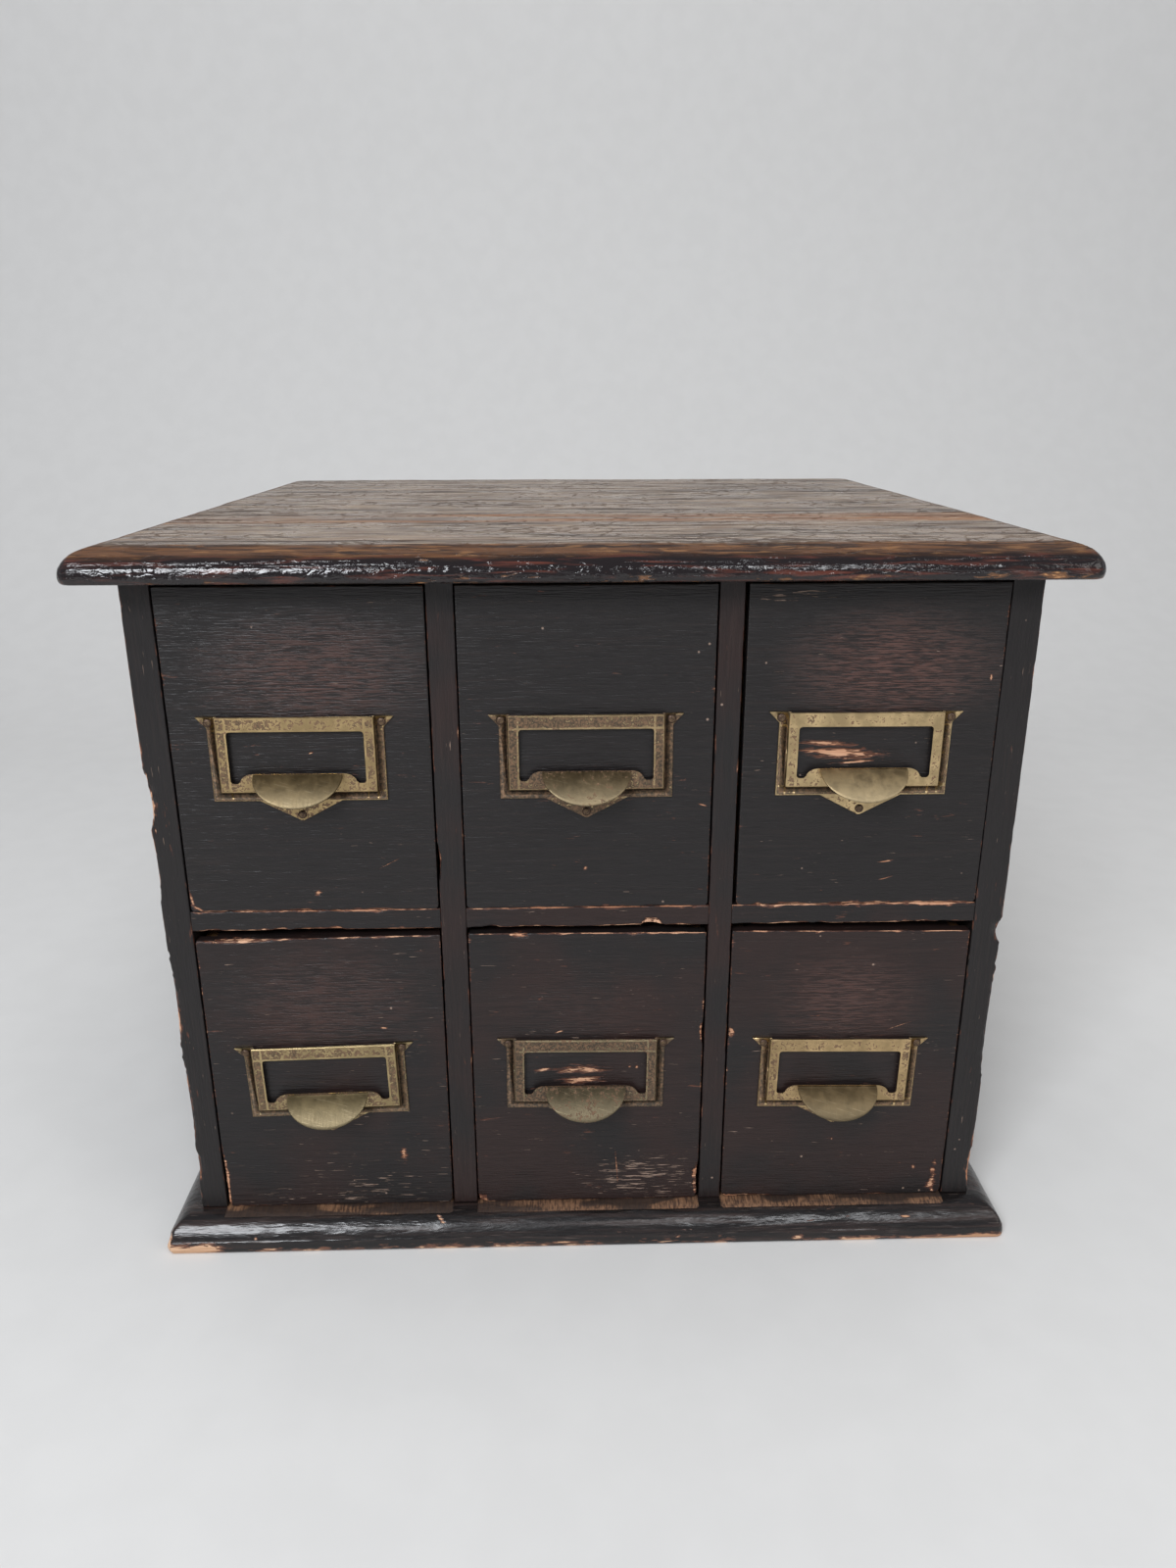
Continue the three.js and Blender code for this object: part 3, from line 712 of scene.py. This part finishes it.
def make_top():
    corners = [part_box(node) for node in TOP_PLANKS]
    slab_low = np.min([low for low, high in corners], axis=0)
    slab_high = np.max([high for low, high in corners], axis=0)
    thickness = slab_high[Z] - slab_low[Z]
    profile = edge_profile(TOP_MOULDING, thickness, 3 * MM)
    joints = [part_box(node)[0][Y] for node in TOP_PLANKS[1:]]
    finish = top_finish("top_varnish", 21, [joints[0] + behind for behind in TOP_STRIPE])
    for node in TOP_PLANKS:
        flat, points, quads, along = moulded_slab(
            node, (slab_low, slab_high), profile, (3, 3), TOP_CORNER, node == TOP_PLANKS[0])
        upper = smooth(0.4, 0.7, (flat[:, Z] - slab_low[Z]) / thickness)
        lumps = noise(points, (26, 26, 26), 3) + 0.5 * noise(points, (7, 7, 7), 4)
        points[:, Z] -= 0.35 * MM * upper * lumps * (along > 0.3)
        to_joint = np.min([np.abs(points[:, Y] - joint) for joint in joints], axis=0)
        gap = noise(points * (1, 0, 0), 60, 8)
        points[:, Z] -= upper * MM * (0.2 + 0.4 * gap) * smooth(0.7 * MM, 0, to_joint)

        moulding = np.clip((1 - along) * 2.3, 0, 2) * (along < 0.999)
        front = points[:, Y] < slab_low[Y] + 8 * MM
        arris = smooth(0.7, 0.84, along) * smooth(1, 0.92, along)
        ridge = (np.abs(points[:, Y] - joints[0]) < 0.5 * MM) * upper
        rough = noise(points, (13, 5, 5), 5)
        worn = [0.4 * arris * smooth(0.3, 0.7, rough),
                0.5 * smooth(0.16, 0.02, along) * smooth(0.35, 0.65, rough),
                ridge * 0.9 * smooth(0.3, 0.6, noise(points * (1, 0, 0), 25, 9))]
        for x, size in TOP_CHIPS:
            away = np.hypot((points[:, X] - x * MM) / (size * MM), (along - 0.1) / 0.09)
            worn.append(0.72 * smooth(1.2, 0.3, away) * front)
        piece = make_object(
            f"{node}_board", points, quads, [finish], wear=np.max(worn, axis=0), moulding=moulding)
        stand_for(piece, node, "case")


BASE_NOSE = 14.5 * MM
BASE_CORNER = 4 * MM
BASE_MARKS = ((-76, 14, 2.4, 0.7, -30), (-82, 16, 3, 0.4, 0), (-100, 16.5, 2, 0.4, 0), (-12, 3, 7, 0.7, 0),
              (46, 5, 2, 0.7, 20), (108, 3.4, 4, 1.6, 0), (164, 12, 3, 0.5, 0), (-170, 8, 1, 0.7, 0))


def track_places(points, high):
    """Where the drawers have rubbed the base's top, from 0 to 1."""
    case_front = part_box("side_left")[0][Y]
    tracks = np.zeros(len(points))
    for bay in ("left", "centre", "right"):
        left, right = (corner[X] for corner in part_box(f"shelf_{bay}"))
        across = smooth(-1, 1.5, (points[:, X] - left) / MM) * smooth(-1, 1.5, (right - points[:, X]) / MM)
        tracks = np.maximum(tracks, across)
    ragged = 2.5 * noise(points, (12, 12, 12), 8)
    behind = smooth(-10.5, -8, (points[:, Y] - case_front) / MM + ragged - 1)
    return tracks * behind * (points[:, Z] > high[Z] - 1.5 * MM)


def make_base():
    low, high = (np.array(corner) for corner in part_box("base_board"))
    profile = edge_profile(BASE_NOSE, high[Z] - low[Z], 2.5 * MM)
    flat, points, quads, _ = moulded_slab(
        "base_board", (low, high), profile, (2.2, 4), BASE_CORNER, True)
    wavy = noise(points, (34, 20, 20), 6) + 0.5 * noise(points, (9, 9, 9), 7)
    points[:, Z] -= 0.5 * MM * wavy * (flat[:, Z] > high[Z] - 1e-6)
    tracks = track_places(points, high)

    height = (points[:, Z] - low[Z]) / MM
    front = points[:, Y] < low[Y] + 9 * MM
    from_left = (points[:, X] - low[X]) / MM
    from_right = (high[X] - points[:, X]) / MM
    broken = smooth(5, 1, from_left) * front * smooth(13, 9, height)
    worn = [0.8 * smooth(6, 1, height) * smooth(0.2, 0.6, noise(points, (22, 9, 9), 9)),
            1.4 * front * smooth(9, 2, height) * smooth(40, 16, from_left),
            1.3 * front * smooth(4.5, 1, height) * smooth(66, 40, from_right),
            1.4 * broken]
    wear = np.where(flat[:, Z] < low[Z] + 1e-6, 1.2, np.max(worn, axis=0))
    points[:, X] += 1.6 * MM * broken * noise(points, (3, 3, 3), 10)
    finish = base_finish("base_gloss", 31, [(x, low[Z] / MM + z, *rest) for x, z, *rest in BASE_MARKS])
    piece = make_object("base_board_bullnosed", points, quads, [finish], wear=wear, tracks=tracks)
    stand_for(piece, "base_board", "case")


# ---- drawer fronts

# Each drawer's look: how brown its stain is, its brass (colour, patina, shine of the hood) and how
# hard its arrises are worn. Places are in millimetres from the front's lower left corner: rubs and
# scuffs are (x, z, half width, half height, strength), and marks of bare wood (x, z, half width,
# half height, slope in degrees).
WORN_ARRISES = ("under", "left", "right", "top")
DRAWER_LOOKS = {
    "upper_left": dict(
        brownness=0.1, brass=(srgb(160, 138, 100), 0.0, 1.0), scuffed=0.25,
        rubs=[(66, 114, 38, 20, 0.65)],
        marks=[(62, 77.6, 1.4, 0.4, 20), (3, 2, 4, 0.6, -30), (1, 6, 0.7, 4, 10), (94, 23.4, 5.5, 0.12, 28),
               (60, 9, 1.6, 1.1, 50)],
        worn=(0.75, 0.28, 0.3, 0.25)),
    "upper_centre": dict(
        brownness=0.05, brass=(srgb(152, 132, 100), 0.26, 1.2), scuffed=0.2,
        marks=[(110, 51, 2.4, 0.4, -20), (56, 20, 1.2, 0.7, 30)],
        worn=(0.6, 0.28, 0.36, 0.25)),
    "upper_right": dict(
        brownness=0.05, brass=(srgb(176, 154, 116), -0.2, 1.7), scuffed=0.3,
        rubs=[(66, 115, 36, 20, 0.95)], scuffs=[(18, 147, 18, 4, 0.2)],
        marks=[(44, 75.4, 19, 2.6, -3), (38, 80, 12, 1.3, -2), (52, 71, 9, 0.6, 4), (70, 21.7, 3.4, 0.4, 8),
               (70.5, 13, 3, 0.35, 15), (110, 110, 0.5, 1.6, 0)],
        worn=(0.8, 0.25, 0.42, 0.35)),
    "lower_left": dict(
        brownness=0.62, brass=(srgb(158, 140, 104), 0.06, 0.8), scuffed=0.5,
        rubs=[(60, 118, 40, 24, 0.35)], scuffs=[(60, 10, 60, 16, 0.07)],
        marks=[(92, 31, 1.7, 3.8, 0), (86.3, 104.3, 1.6, 0.5, 0)],
        worn=(0.8, 0.5, 0.4, 0.75)),
    "lower_centre": dict(
        brownness=0.72, brass=(srgb(140, 126, 100), 0.36, 0.85), scuffed=0.5,
        rubs=[(56, 112, 30, 22, 0.15)], scuffs=[(84, 14, 32, 14, 0.185)],
        marks=[(53, 79, 11.5, 2.3, 0), (53.5, 72.8, 10.5, 1.9, 2), (35, 79, 3.6, 1, 6),
               (71.8, 20, 0.3, 10, 4), (43, 100.6, 2.4, 0.4, 20), (78, 80, 0.7, 0.6, 0),
               (81.5, 79.8, 0.8, 0.8, 0)],
        worn=(0.75, 0.42, 0.5, 0.8)),
    "lower_right": dict(
        brownness=0.68, brass=(srgb(170, 146, 108), -0.12, 0.8), scuffed=0.4,
        rubs=[(58, 116, 28, 20, 0.6)],
        marks=[(85, 101, 7.5, 0.12, 20), (56, 35, 0.6, 0.6, 0), (100, 16.5, 1, 1.4, 20),
               (110, 5, 3, 2, 35)],
        worn=(0.6, 0.45, 0.5, 0.75)),
}
FRONT_CHIPS = {
    "lower_centre": [((114, 0, 100), (1.6, 3, 6), 1.2, 0.9), ((114, 0, 12), (3, 4, 11), 1.5, 0.85),
                     ((25, 0, 154), (5, 3, 1.6), 1, 1), ((2, 0, 2), (4, 3, 4), 0.9, 1)],
    "lower_left": [((0, 0, 14), (2, 3, 18), 1.0, 1), ((118, 0, 6), (2, 3, 12), 0.9, 1),
                   ((20, 0, 154), (22, 3, 1.2), 0.8, 0.9)],
    "lower_right": [((0, 0, 98.7), (3.2, 3, 3.6), 1.8, 1), ((10, 0, 0), (16, 3, 1.4), 0.7, 0.9),
                    ((111, 0, 10), (1.8, 3, 12), 0.9, 0.9)],
    "upper_left": [((0, 0, 111.6), (2.2, 2, 0.8), 0.9, 0.3)],
}
REBATE_SHARE = 0.5


def end_heights(node, low, high):
    """Height of a front's two ends, read from its CAD solid."""
    corners = np.array([v.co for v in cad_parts[node].data.vertices])
    return [corners[np.abs(corners[:, X] - x) < 0.05 * MM][:, Z].max() - low[Z] for x in (low[X], high[X])]


def make_front(drawer, looks, seed):
    node = f"{drawer}_drawer_front"
    low, high = (np.array(corner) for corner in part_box(node))
    inner_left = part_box(f"{drawer}_drawer_side_left")[1][X]
    inner_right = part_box(f"{drawer}_drawer_side_right")[0][X]
    xs = cuts(low[X], high[X], 1.5)
    rebates = [inner_left - 0.02 * MM, inner_left, inner_right, inner_right + 0.02 * MM]
    xs = np.unique(np.concatenate([xs, rebates]))
    points, quads = box_grid([xs, cuts(low[Y], high[Y], 3), cuts(low[Z], high[Z], 1.5)])
    weights = dict(zip(WORN_ARRISES, looks["worn"]))
    points, wear = round_and_wear(points, low, high, weights, 0.15, seed=seed, loss=1.1)
    points, wear = bite(points, wear, low, high, FRONT_CHIPS.get(drawer, ()), seed)
    outside = (points[:, X] < inner_left - 0.01 * MM) | (points[:, X] > inner_right + 0.01 * MM)
    points[:, Y] = np.where(outside, low[Y] + (points[:, Y] - low[Y]) * REBATE_SHARE, points[:, Y])
    on_face = points[:, Y] < low[Y] + 1.5 * MM
    warp = noise(points, (60, 60, 60), seed) + 0.3 * noise(points, (16, 16, 9), seed + 1)
    points[:, Y] += on_face * 0.25 * MM * warp
    share = (points[:, X] - low[X]) / (high[X] - low[X])
    left_height, right_height = end_heights(node, low, high)
    height = (1 - share) * left_height + share * right_height
    points[:, Z] = low[Z] + (points[:, Z] - low[Z]) * height / (high[Z] - low[Z])
    points = round_corners(points, low, high, (3.5 if "lower" in drawer else 2) * MM, Z)
    places = {key: looks.get(key, ()) for key in ("rubs", "marks", "scuffs")}
    finish = black_finish(
        f"{drawer}_front_stain", X, looks["brownness"], seed, (low[X] / MM, low[Z] / MM),
        scuffed=looks["scuffed"], **places)
    piece = make_object(f"{drawer}_front_board", points, quads, [finish], wear=wear)
    return stand_for(piece, node, f"{drawer}_drawer")


def make_box_boards(drawer, seed):
    """Sides, back and bottom of a drawer, in bare wood."""
    along = raw_finish(f"{drawer}_side_wood", Y, seed)
    across = raw_finish(f"{drawer}_back_wood", X, seed + 1)
    finishes = {"side_left": along, "side_right": along, "back": across, "bottom": across}
    for piece, finish in finishes.items():
        node = f"{drawer}_drawer_{piece}"
        board(node, f"{drawer}_drawer", "drawer_wood", finish, (6, 8, 6), {}, 0.35, seed=seed, loss=0.8)


# ---- brass pull

SHEET = 1.0
PLATE_HALF, EAR_HALF, EAR_DROP = 39.2, 43.8, 5.0
PLATE_FOOT, POINT_HALF, POINT_DROP = -39.6, 18.7, -49.5
FRAME_HALF, FRAME_FOOT, FRAME_PROUD, FRAME_SLOPE = 35.1, -35.0, 2.8, 0.8
WINDOW_HALF, WINDOW_TOP, WINDOW_FOOT, WINDOW_CORNER = 30.7, -6.2, -31.0, 1.8
TAB_TOP, TAB_HALF, TAB_FOOT = -26.4, 21.0, 26.0
HOOD_HALF, HOOD_PROUD, HOOD_DROP, HOOD_BULGE = 20.0, 15.4, -38.0, 2.0
SCREW_PLACES = {"left": (-38.4, -2.6), "right": (38.4, -2.6), "tip": (0, -46.2)}


def arc(centre, radius_x, radius_z, start, end, count=7):
    """Points along part of an ellipse, angles in degrees."""
    angles = np.radians(np.linspace(start, end, count))
    return [(centre[0] + radius_x * cos(a), centre[1] + radius_z * sin(a)) for a in angles]


def inset(outline, distance):
    """The outline moved inwards by distance. It runs counter-clockwise."""
    points = [Vector(p) for p in outline]
    moved = []
    for i, point in enumerate(points):
        before = (point - points[i - 1]).normalized()
        after = (points[(i + 1) % len(points)] - point).normalized()
        normal = Vector((-before.y - after.y, before.x + after.x))
        reach = distance / max(normal.length / 2, 0.35)
        moved.append(tuple(point + normal.normalized() * reach))
    return moved


def stamped_sheet(outer, holes, back, front, arris):
    """A flat sheet in the X-Z plane with softened front arrises: vertices and faces in millimetres."""
    vertices = []
    faces = []
    caps = {"back": ([], []), "front": ([], [])}
    for outline in [outer, *holes]:
        count = len(outline)
        start = len(vertices)
        pulled = inset(outline, arris)
        for ring, y in ((outline, back), (outline, front + arris), (pulled, front)):
            vertices += [(x, y, z) for x, z in ring]
        for level in range(2):
            for i in range(count):
                a = start + level * count + i
                b = start + level * count + (i + 1) % count
                faces.append((b, a, a + count, b + count))
        for side, ring, level in (("back", outline, 0), ("front", pulled, 2)):
            caps[side][0].append([Vector((x, z, 0)) for x, z in ring])
            caps[side][1].extend(range(start + level * count, start + (level + 1) * count))
    for side, (outlines, index) in caps.items():
        for corners in tessellate_polygon(outlines):
            triangle = [index[corner] for corner in corners]
            faces.append(triangle if side == "front" else triangle[::-1])
    return vertices, faces


def plate_outline():
    """U-shaped back plate with two ears and a pointed foot, counter-clockwise from the front."""
    frame_edge = FRAME_HALF + 0.4
    left = [(-frame_edge, 0), (-EAR_HALF + 0.3, 0), (-EAR_HALF, -0.2), (-PLATE_HALF, -EAR_DROP),
            (-PLATE_HALF, PLATE_FOOT), (-POINT_HALF, PLATE_FOOT), (-0.6, POINT_DROP + 0.3)]
    right = [(-x, z) for x, z in reversed(left)]
    return [*left, *right, (frame_edge, FRAME_FOOT - 0.4), (-frame_edge, FRAME_FOOT - 0.4)]


def window_outline():
    """Window with a tab and round shoulders in its lower edge, clockwise from the front."""
    c = WINDOW_CORNER
    right = [(TAB_HALF - 2, TAB_TOP)]
    right += arc((TAB_HALF - 0.6, WINDOW_FOOT + 0.2), 5.6, TAB_TOP - WINDOW_FOOT - 0.2, 88, 8, 7)
    right += arc((TAB_FOOT + 1.4, WINDOW_FOOT + 0.8), 1, 0.8, 190, 268, 4)
    right += arc((WINDOW_HALF - c, WINDOW_FOOT + c), c, c, -90, 0, 6)
    right += arc((WINDOW_HALF - c, WINDOW_TOP - c), c, c, 0, 90, 6)
    return [*right, *[(-x, z) for x, z in reversed(right)]]


def loft(rings):
    """Faces over rings of equal length, with flat ends. Rings turn counter-clockwise seen from the last."""
    count = len(rings[0])
    vertices = [tuple(p) for ring in rings for p in ring]
    faces = []
    for level in range(len(rings) - 1):
        for i in range(count):
            a = level * count + i
            b = level * count + (i + 1) % count
            faces.append((a, b, b + count, a + count))
    faces.append(tuple(reversed(range(count))))
    faces.append(tuple(range((len(rings) - 1) * count, len(rings) * count)))
    return vertices, faces


def frame_walls():
    """Sloping walls under the raised frame, round three sides."""
    rings = []
    turns = ((-1, 0.0, 0), (-1, FRAME_FOOT, -1), (1, FRAME_FOOT, -1), (1, 0.0, 0))
    top = 0.02 - FRAME_PROUD
    section = ((FRAME_SLOPE, 0.0), (FRAME_SLOPE, -SHEET), (0.0, 0.35 - FRAME_PROUD), (-0.3, top),
               (-SHEET, top), (-SHEET, SHEET - FRAME_PROUD), (FRAME_SLOPE - SHEET - 0.2, 0.0))
    for side, z, down in turns:
        rings.append([(side * (FRAME_HALF + out), y, z + down * out) for out, y in section])
    return loft(rings)


def hood_line():
    """Middle line of the hood from its fold to its free edge, as (y, z) points and normals."""
    fold = [Vector((-2.4, -28.6)), Vector((-2.4, -27.4))]
    fold += [Vector(p) for p in arc((-3.2, -27.4), 0.8, 0.75, 0, 140, 7)]
    start = fold[-1]
    end = Vector((-HOOD_PROUD, HOOD_DROP))
    across = (end - start).normalized()
    control = (start + end) / 2 + Vector((across.y, -across.x)) * HOOD_BULGE
    sheet = []
    for t in np.linspace(0, 1, 15)[1:].tolist():
        sheet.append((1 - t) ** 2 * start + 2 * t * (1 - t) * control + t * t * end)
    return fold + sheet, len(fold)


def hood():
    """Half-moon flap folded out of the sheet, with a round free edge."""
    line, folded = hood_line()
    length = len(line) - folded
    half = SHEET / 2
    rings = []
    for angle in np.linspace(0, pi, 41).tolist():
        x = -HOOD_HALF * cos(angle)
        reach = max(sin(angle) ** 0.96, 0.05)
        places = list(line[:folded])
        for step in range(1, length + 1):
            at = folded - 1 + step * reach
            index = min(int(at), len(line) - 2)
            places.append(line[index].lerp(line[index + 1], at - index))
        outer = []
        inner = []
        for i, place in enumerate(places):
            ahead = places[min(i + 1, len(places) - 1)] - places[max(i - 1, 0)]
            normal = Vector((ahead.y, -ahead.x)).normalized() * half
            outer.append(place + normal)
            inner.append(place - normal)
        tangent = (places[-1] - places[-2]).normalized()
        rim = [places[-1] + (outer[-1] - places[-1]) * cos(a) + tangent * half * sin(a)
               for a in (pi / 4, pi / 2, pi * 3 / 4)]
        ring = [*outer, *rim, *reversed(inner)]
        rings.append([(x, p.x, p.y) for p in ring])
    return loft(rings)


def combined(name, operation, parts, sharp_from):
    """Joins or cuts closed solids, given in millimetres, into one mesh in metres."""
    pieces = [make_object(name, np.array(vertices) * MM, faces) for vertices, faces in parts]
    for other in pieces[1:]:
        change = pieces[0].modifiers.new("change", "BOOLEAN")
        change.operation = operation
        change.solver = "EXACT"
        change.object = other
    graph = bpy.context.evaluated_depsgraph_get()
    mesh = bpy.data.meshes.new_from_object(pieces[0].evaluated_get(graph), depsgraph=graph)
    for piece in pieces:
        bpy.data.objects.remove(piece)
    mesh.set_sharp_from_angle(angle=radians(sharp_from))
    mesh.name = name
    return mesh


def pull_mesh():
    frame_outline = [(-FRAME_HALF, 0), (-FRAME_HALF, FRAME_FOOT), (FRAME_HALF, FRAME_FOOT), (FRAME_HALF, 0)]
    plate = stamped_sheet(plate_outline(), [], 0, -SHEET, 0.22)
    face = stamped_sheet(frame_outline, [window_outline()], SHEET - FRAME_PROUD, -FRAME_PROUD, 0.28)
    return combined("pull_brass", "UNION", [plate, frame_walls(), face, hood()], 32)


# Radius and depth of a screw head from its neck out, in millimetres.
SCREW_PROFILE = ((0.9, 0.3), (1.9, 0.05), (2.0, -0.2), (1.85, -0.48), (1.5, -0.72), (1.0, -0.88),
                 (0.3, -0.93))


def screw_mesh():
    """Slotted round head: a low dome split by a slot, with a short neck behind it."""
    rings = []
    sides = 28
    for radius, y in SCREW_PROFILE:
        angles = np.linspace(0, 2 * pi, sides, endpoint=False)
        rings.append([(radius * cos(a), y, radius * sin(a)) for a in angles])
    dome = loft(rings)
    section = ((-2, -0.3), (-2, 0.3), (-0.5, 0.26), (-0.5, -0.26))
    slot = loft([[(x, y, z) for y, z in section] for x in (-3, 3)])
    return combined("screw_head", "DIFFERENCE", [dome, slot], 35)


def pull_place(drawer):
    """Where a pull's top middle sits, and its tilt, from its two ear screws."""
    left, right = (
        (Vector(low) + Vector(high)) / 2
        for low, high in (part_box(f"{drawer}_screw_{side}") for side in ("left", "right")))
    along = right - left
    tilt = atan2(along.z, along.x)
    middle = (left + right) / 2
    middle.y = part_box(f"{drawer}_pull")[1][Y]
    drop = -SCREW_PLACES["left"][1] * MM
    return middle + Vector((-sin(tilt) * drop, 0, cos(tilt) * drop)), tilt


def make_pull(drawer, looks, meshes, seed):
    place, tilt = pull_place(drawer)
    turn = Matrix.Rotation(-tilt, 4, "Y")
    mesh = meshes["pull"].copy()
    mesh.materials.append(brass_finish(f"{drawer}_brass", *looks["brass"], seed))
    stance = Matrix.Translation(place) @ turn
    piece = placed(f"{drawer}_pull_brass", mesh, stance)
    stand_for(piece, f"{drawer}_pull", f"{drawer}_drawer")
    for index, (side, (x, z)) in enumerate(SCREW_PLACES.items()):
        slot_turn = Matrix.Rotation(0.6 + seed * 0.8 + index * 1.9, 4, "Y")
        spot = Matrix.Translation((x * MM, -SHEET * MM, z * MM))
        screw = placed(f"{drawer}_screw_{side}_head", meshes["screw"], stance @ spot @ slot_turn)
        node = f"{drawer}_screw_{side}" if side != "tip" else None
        stand_for(screw, node, f"{drawer}_drawer")


def make_drawers():
    meshes = {"pull": pull_mesh(), "screw": screw_mesh()}
    meshes["screw"].materials.append(screw_finish("screw_metal", 5))
    for index, (drawer, looks) in enumerate(DRAWER_LOOKS.items()):
        make_front(drawer, looks, 41 + 7 * index)
        make_box_boards(drawer, 91 + 3 * index)
        make_pull(drawer, looks, meshes, index + 1)


# ---- stage, light and camera


def make_stage():
    """Pale floor that sweeps up into a backdrop behind the cabinet."""
    s = Shader("floor_paint")
    grain = s.noise((30, 30, 30), 3, 1)
    colour = s.blend(s.step(grain, 0.3, 0.7), (0.615, 0.61, 0.60, 1), (0.63, 0.625, 0.615, 1))
    paint = s.finish(colour, 0.75)
    half_width, front, back, rise, bend = 4.0, -3.0, 1.6, 3.0, 0.9
    path = [(front, 0), (back - bend, 0)]
    path += [(back - bend + bend * sin(a), bend - bend * cos(a)) for a in np.linspace(0.1, pi / 2, 14)]
    path.append((back, rise))
    vertices = [(x, y, z) for y, z in path for x in (-half_width, half_width)]
    faces = [(2 * i, 2 * i + 1, 2 * i + 3, 2 * i + 2) for i in range(len(path) - 1)]
    make_object("floor_sweep", vertices, faces, [paint])


AIM = (0, -0.15, 0.2)


def area_light(name, place, size, power, colour, mirrored=True):
    light = bpy.data.lights.new(name, "AREA")
    light.shape = "RECTANGLE"
    light.size, light.size_y = size
    light.energy = power
    light.color = colour
    lamp = placed(name, light)
    lamp.visible_glossy = mirrored
    lamp.location = place
    lamp.rotation_euler = (Vector(AIM) - Vector(place)).to_track_quat("-Z", "Y").to_euler()


def make_lights():
    area_light("window", (-0.95, -2.0, 1.65), (0.8, 0.9), 45, (0.93, 0.96, 1.0))
    area_light("small_window", (0.6, -2.1, 1.7), (0.4, 0.6), 9, (0.95, 0.97, 1.0))
    area_light("right_fill", (1.8, -1.6, 1.3), (1.3, 1.3), 10, (1.0, 0.97, 0.92))
    area_light("ceiling", (0, -0.4, 2.7), (2.4, 2.0), 28, (1.0, 0.99, 0.97), mirrored=False)
    world = bpy.data.worlds.new("soft_room")
    world.use_nodes = True
    background = world.node_tree.nodes["Background"]
    background.inputs["Color"].default_value = (0.9, 0.93, 1.0, 1)
    background.inputs["Strength"].default_value = 0.35
    bpy.context.scene.world = world


def make_camera():
    """A phone's wide lens close to the cabinet, looking a little down."""
    camera = bpy.data.cameras.new("camera")
    camera.sensor_fit = "VERTICAL"
    camera.sensor_height = 36
    camera.lens = 25.77
    camera.clip_start = 0.02
    eye = placed("camera", camera)
    case_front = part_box("side_left")[0][Y]
    eye.location = (-0.0122, case_front - 0.4847, 0.4128)
    yaw, pitch, roll = (radians(a) for a in (1.50, 18.91, -0.11))
    turn = Euler((pi / 2 - pitch, 0, -yaw), "XYZ").to_matrix() @ Matrix.Rotation(roll, 3, "Z")
    eye.rotation_euler = turn.to_euler()
    bpy.context.scene.camera = eye


# ---- scene

make_camera()
make_lights()
make_stage()
make_case()
make_top()
make_base()
make_drawers()
bpy.context.scene.view_settings.view_transform = "Standard"
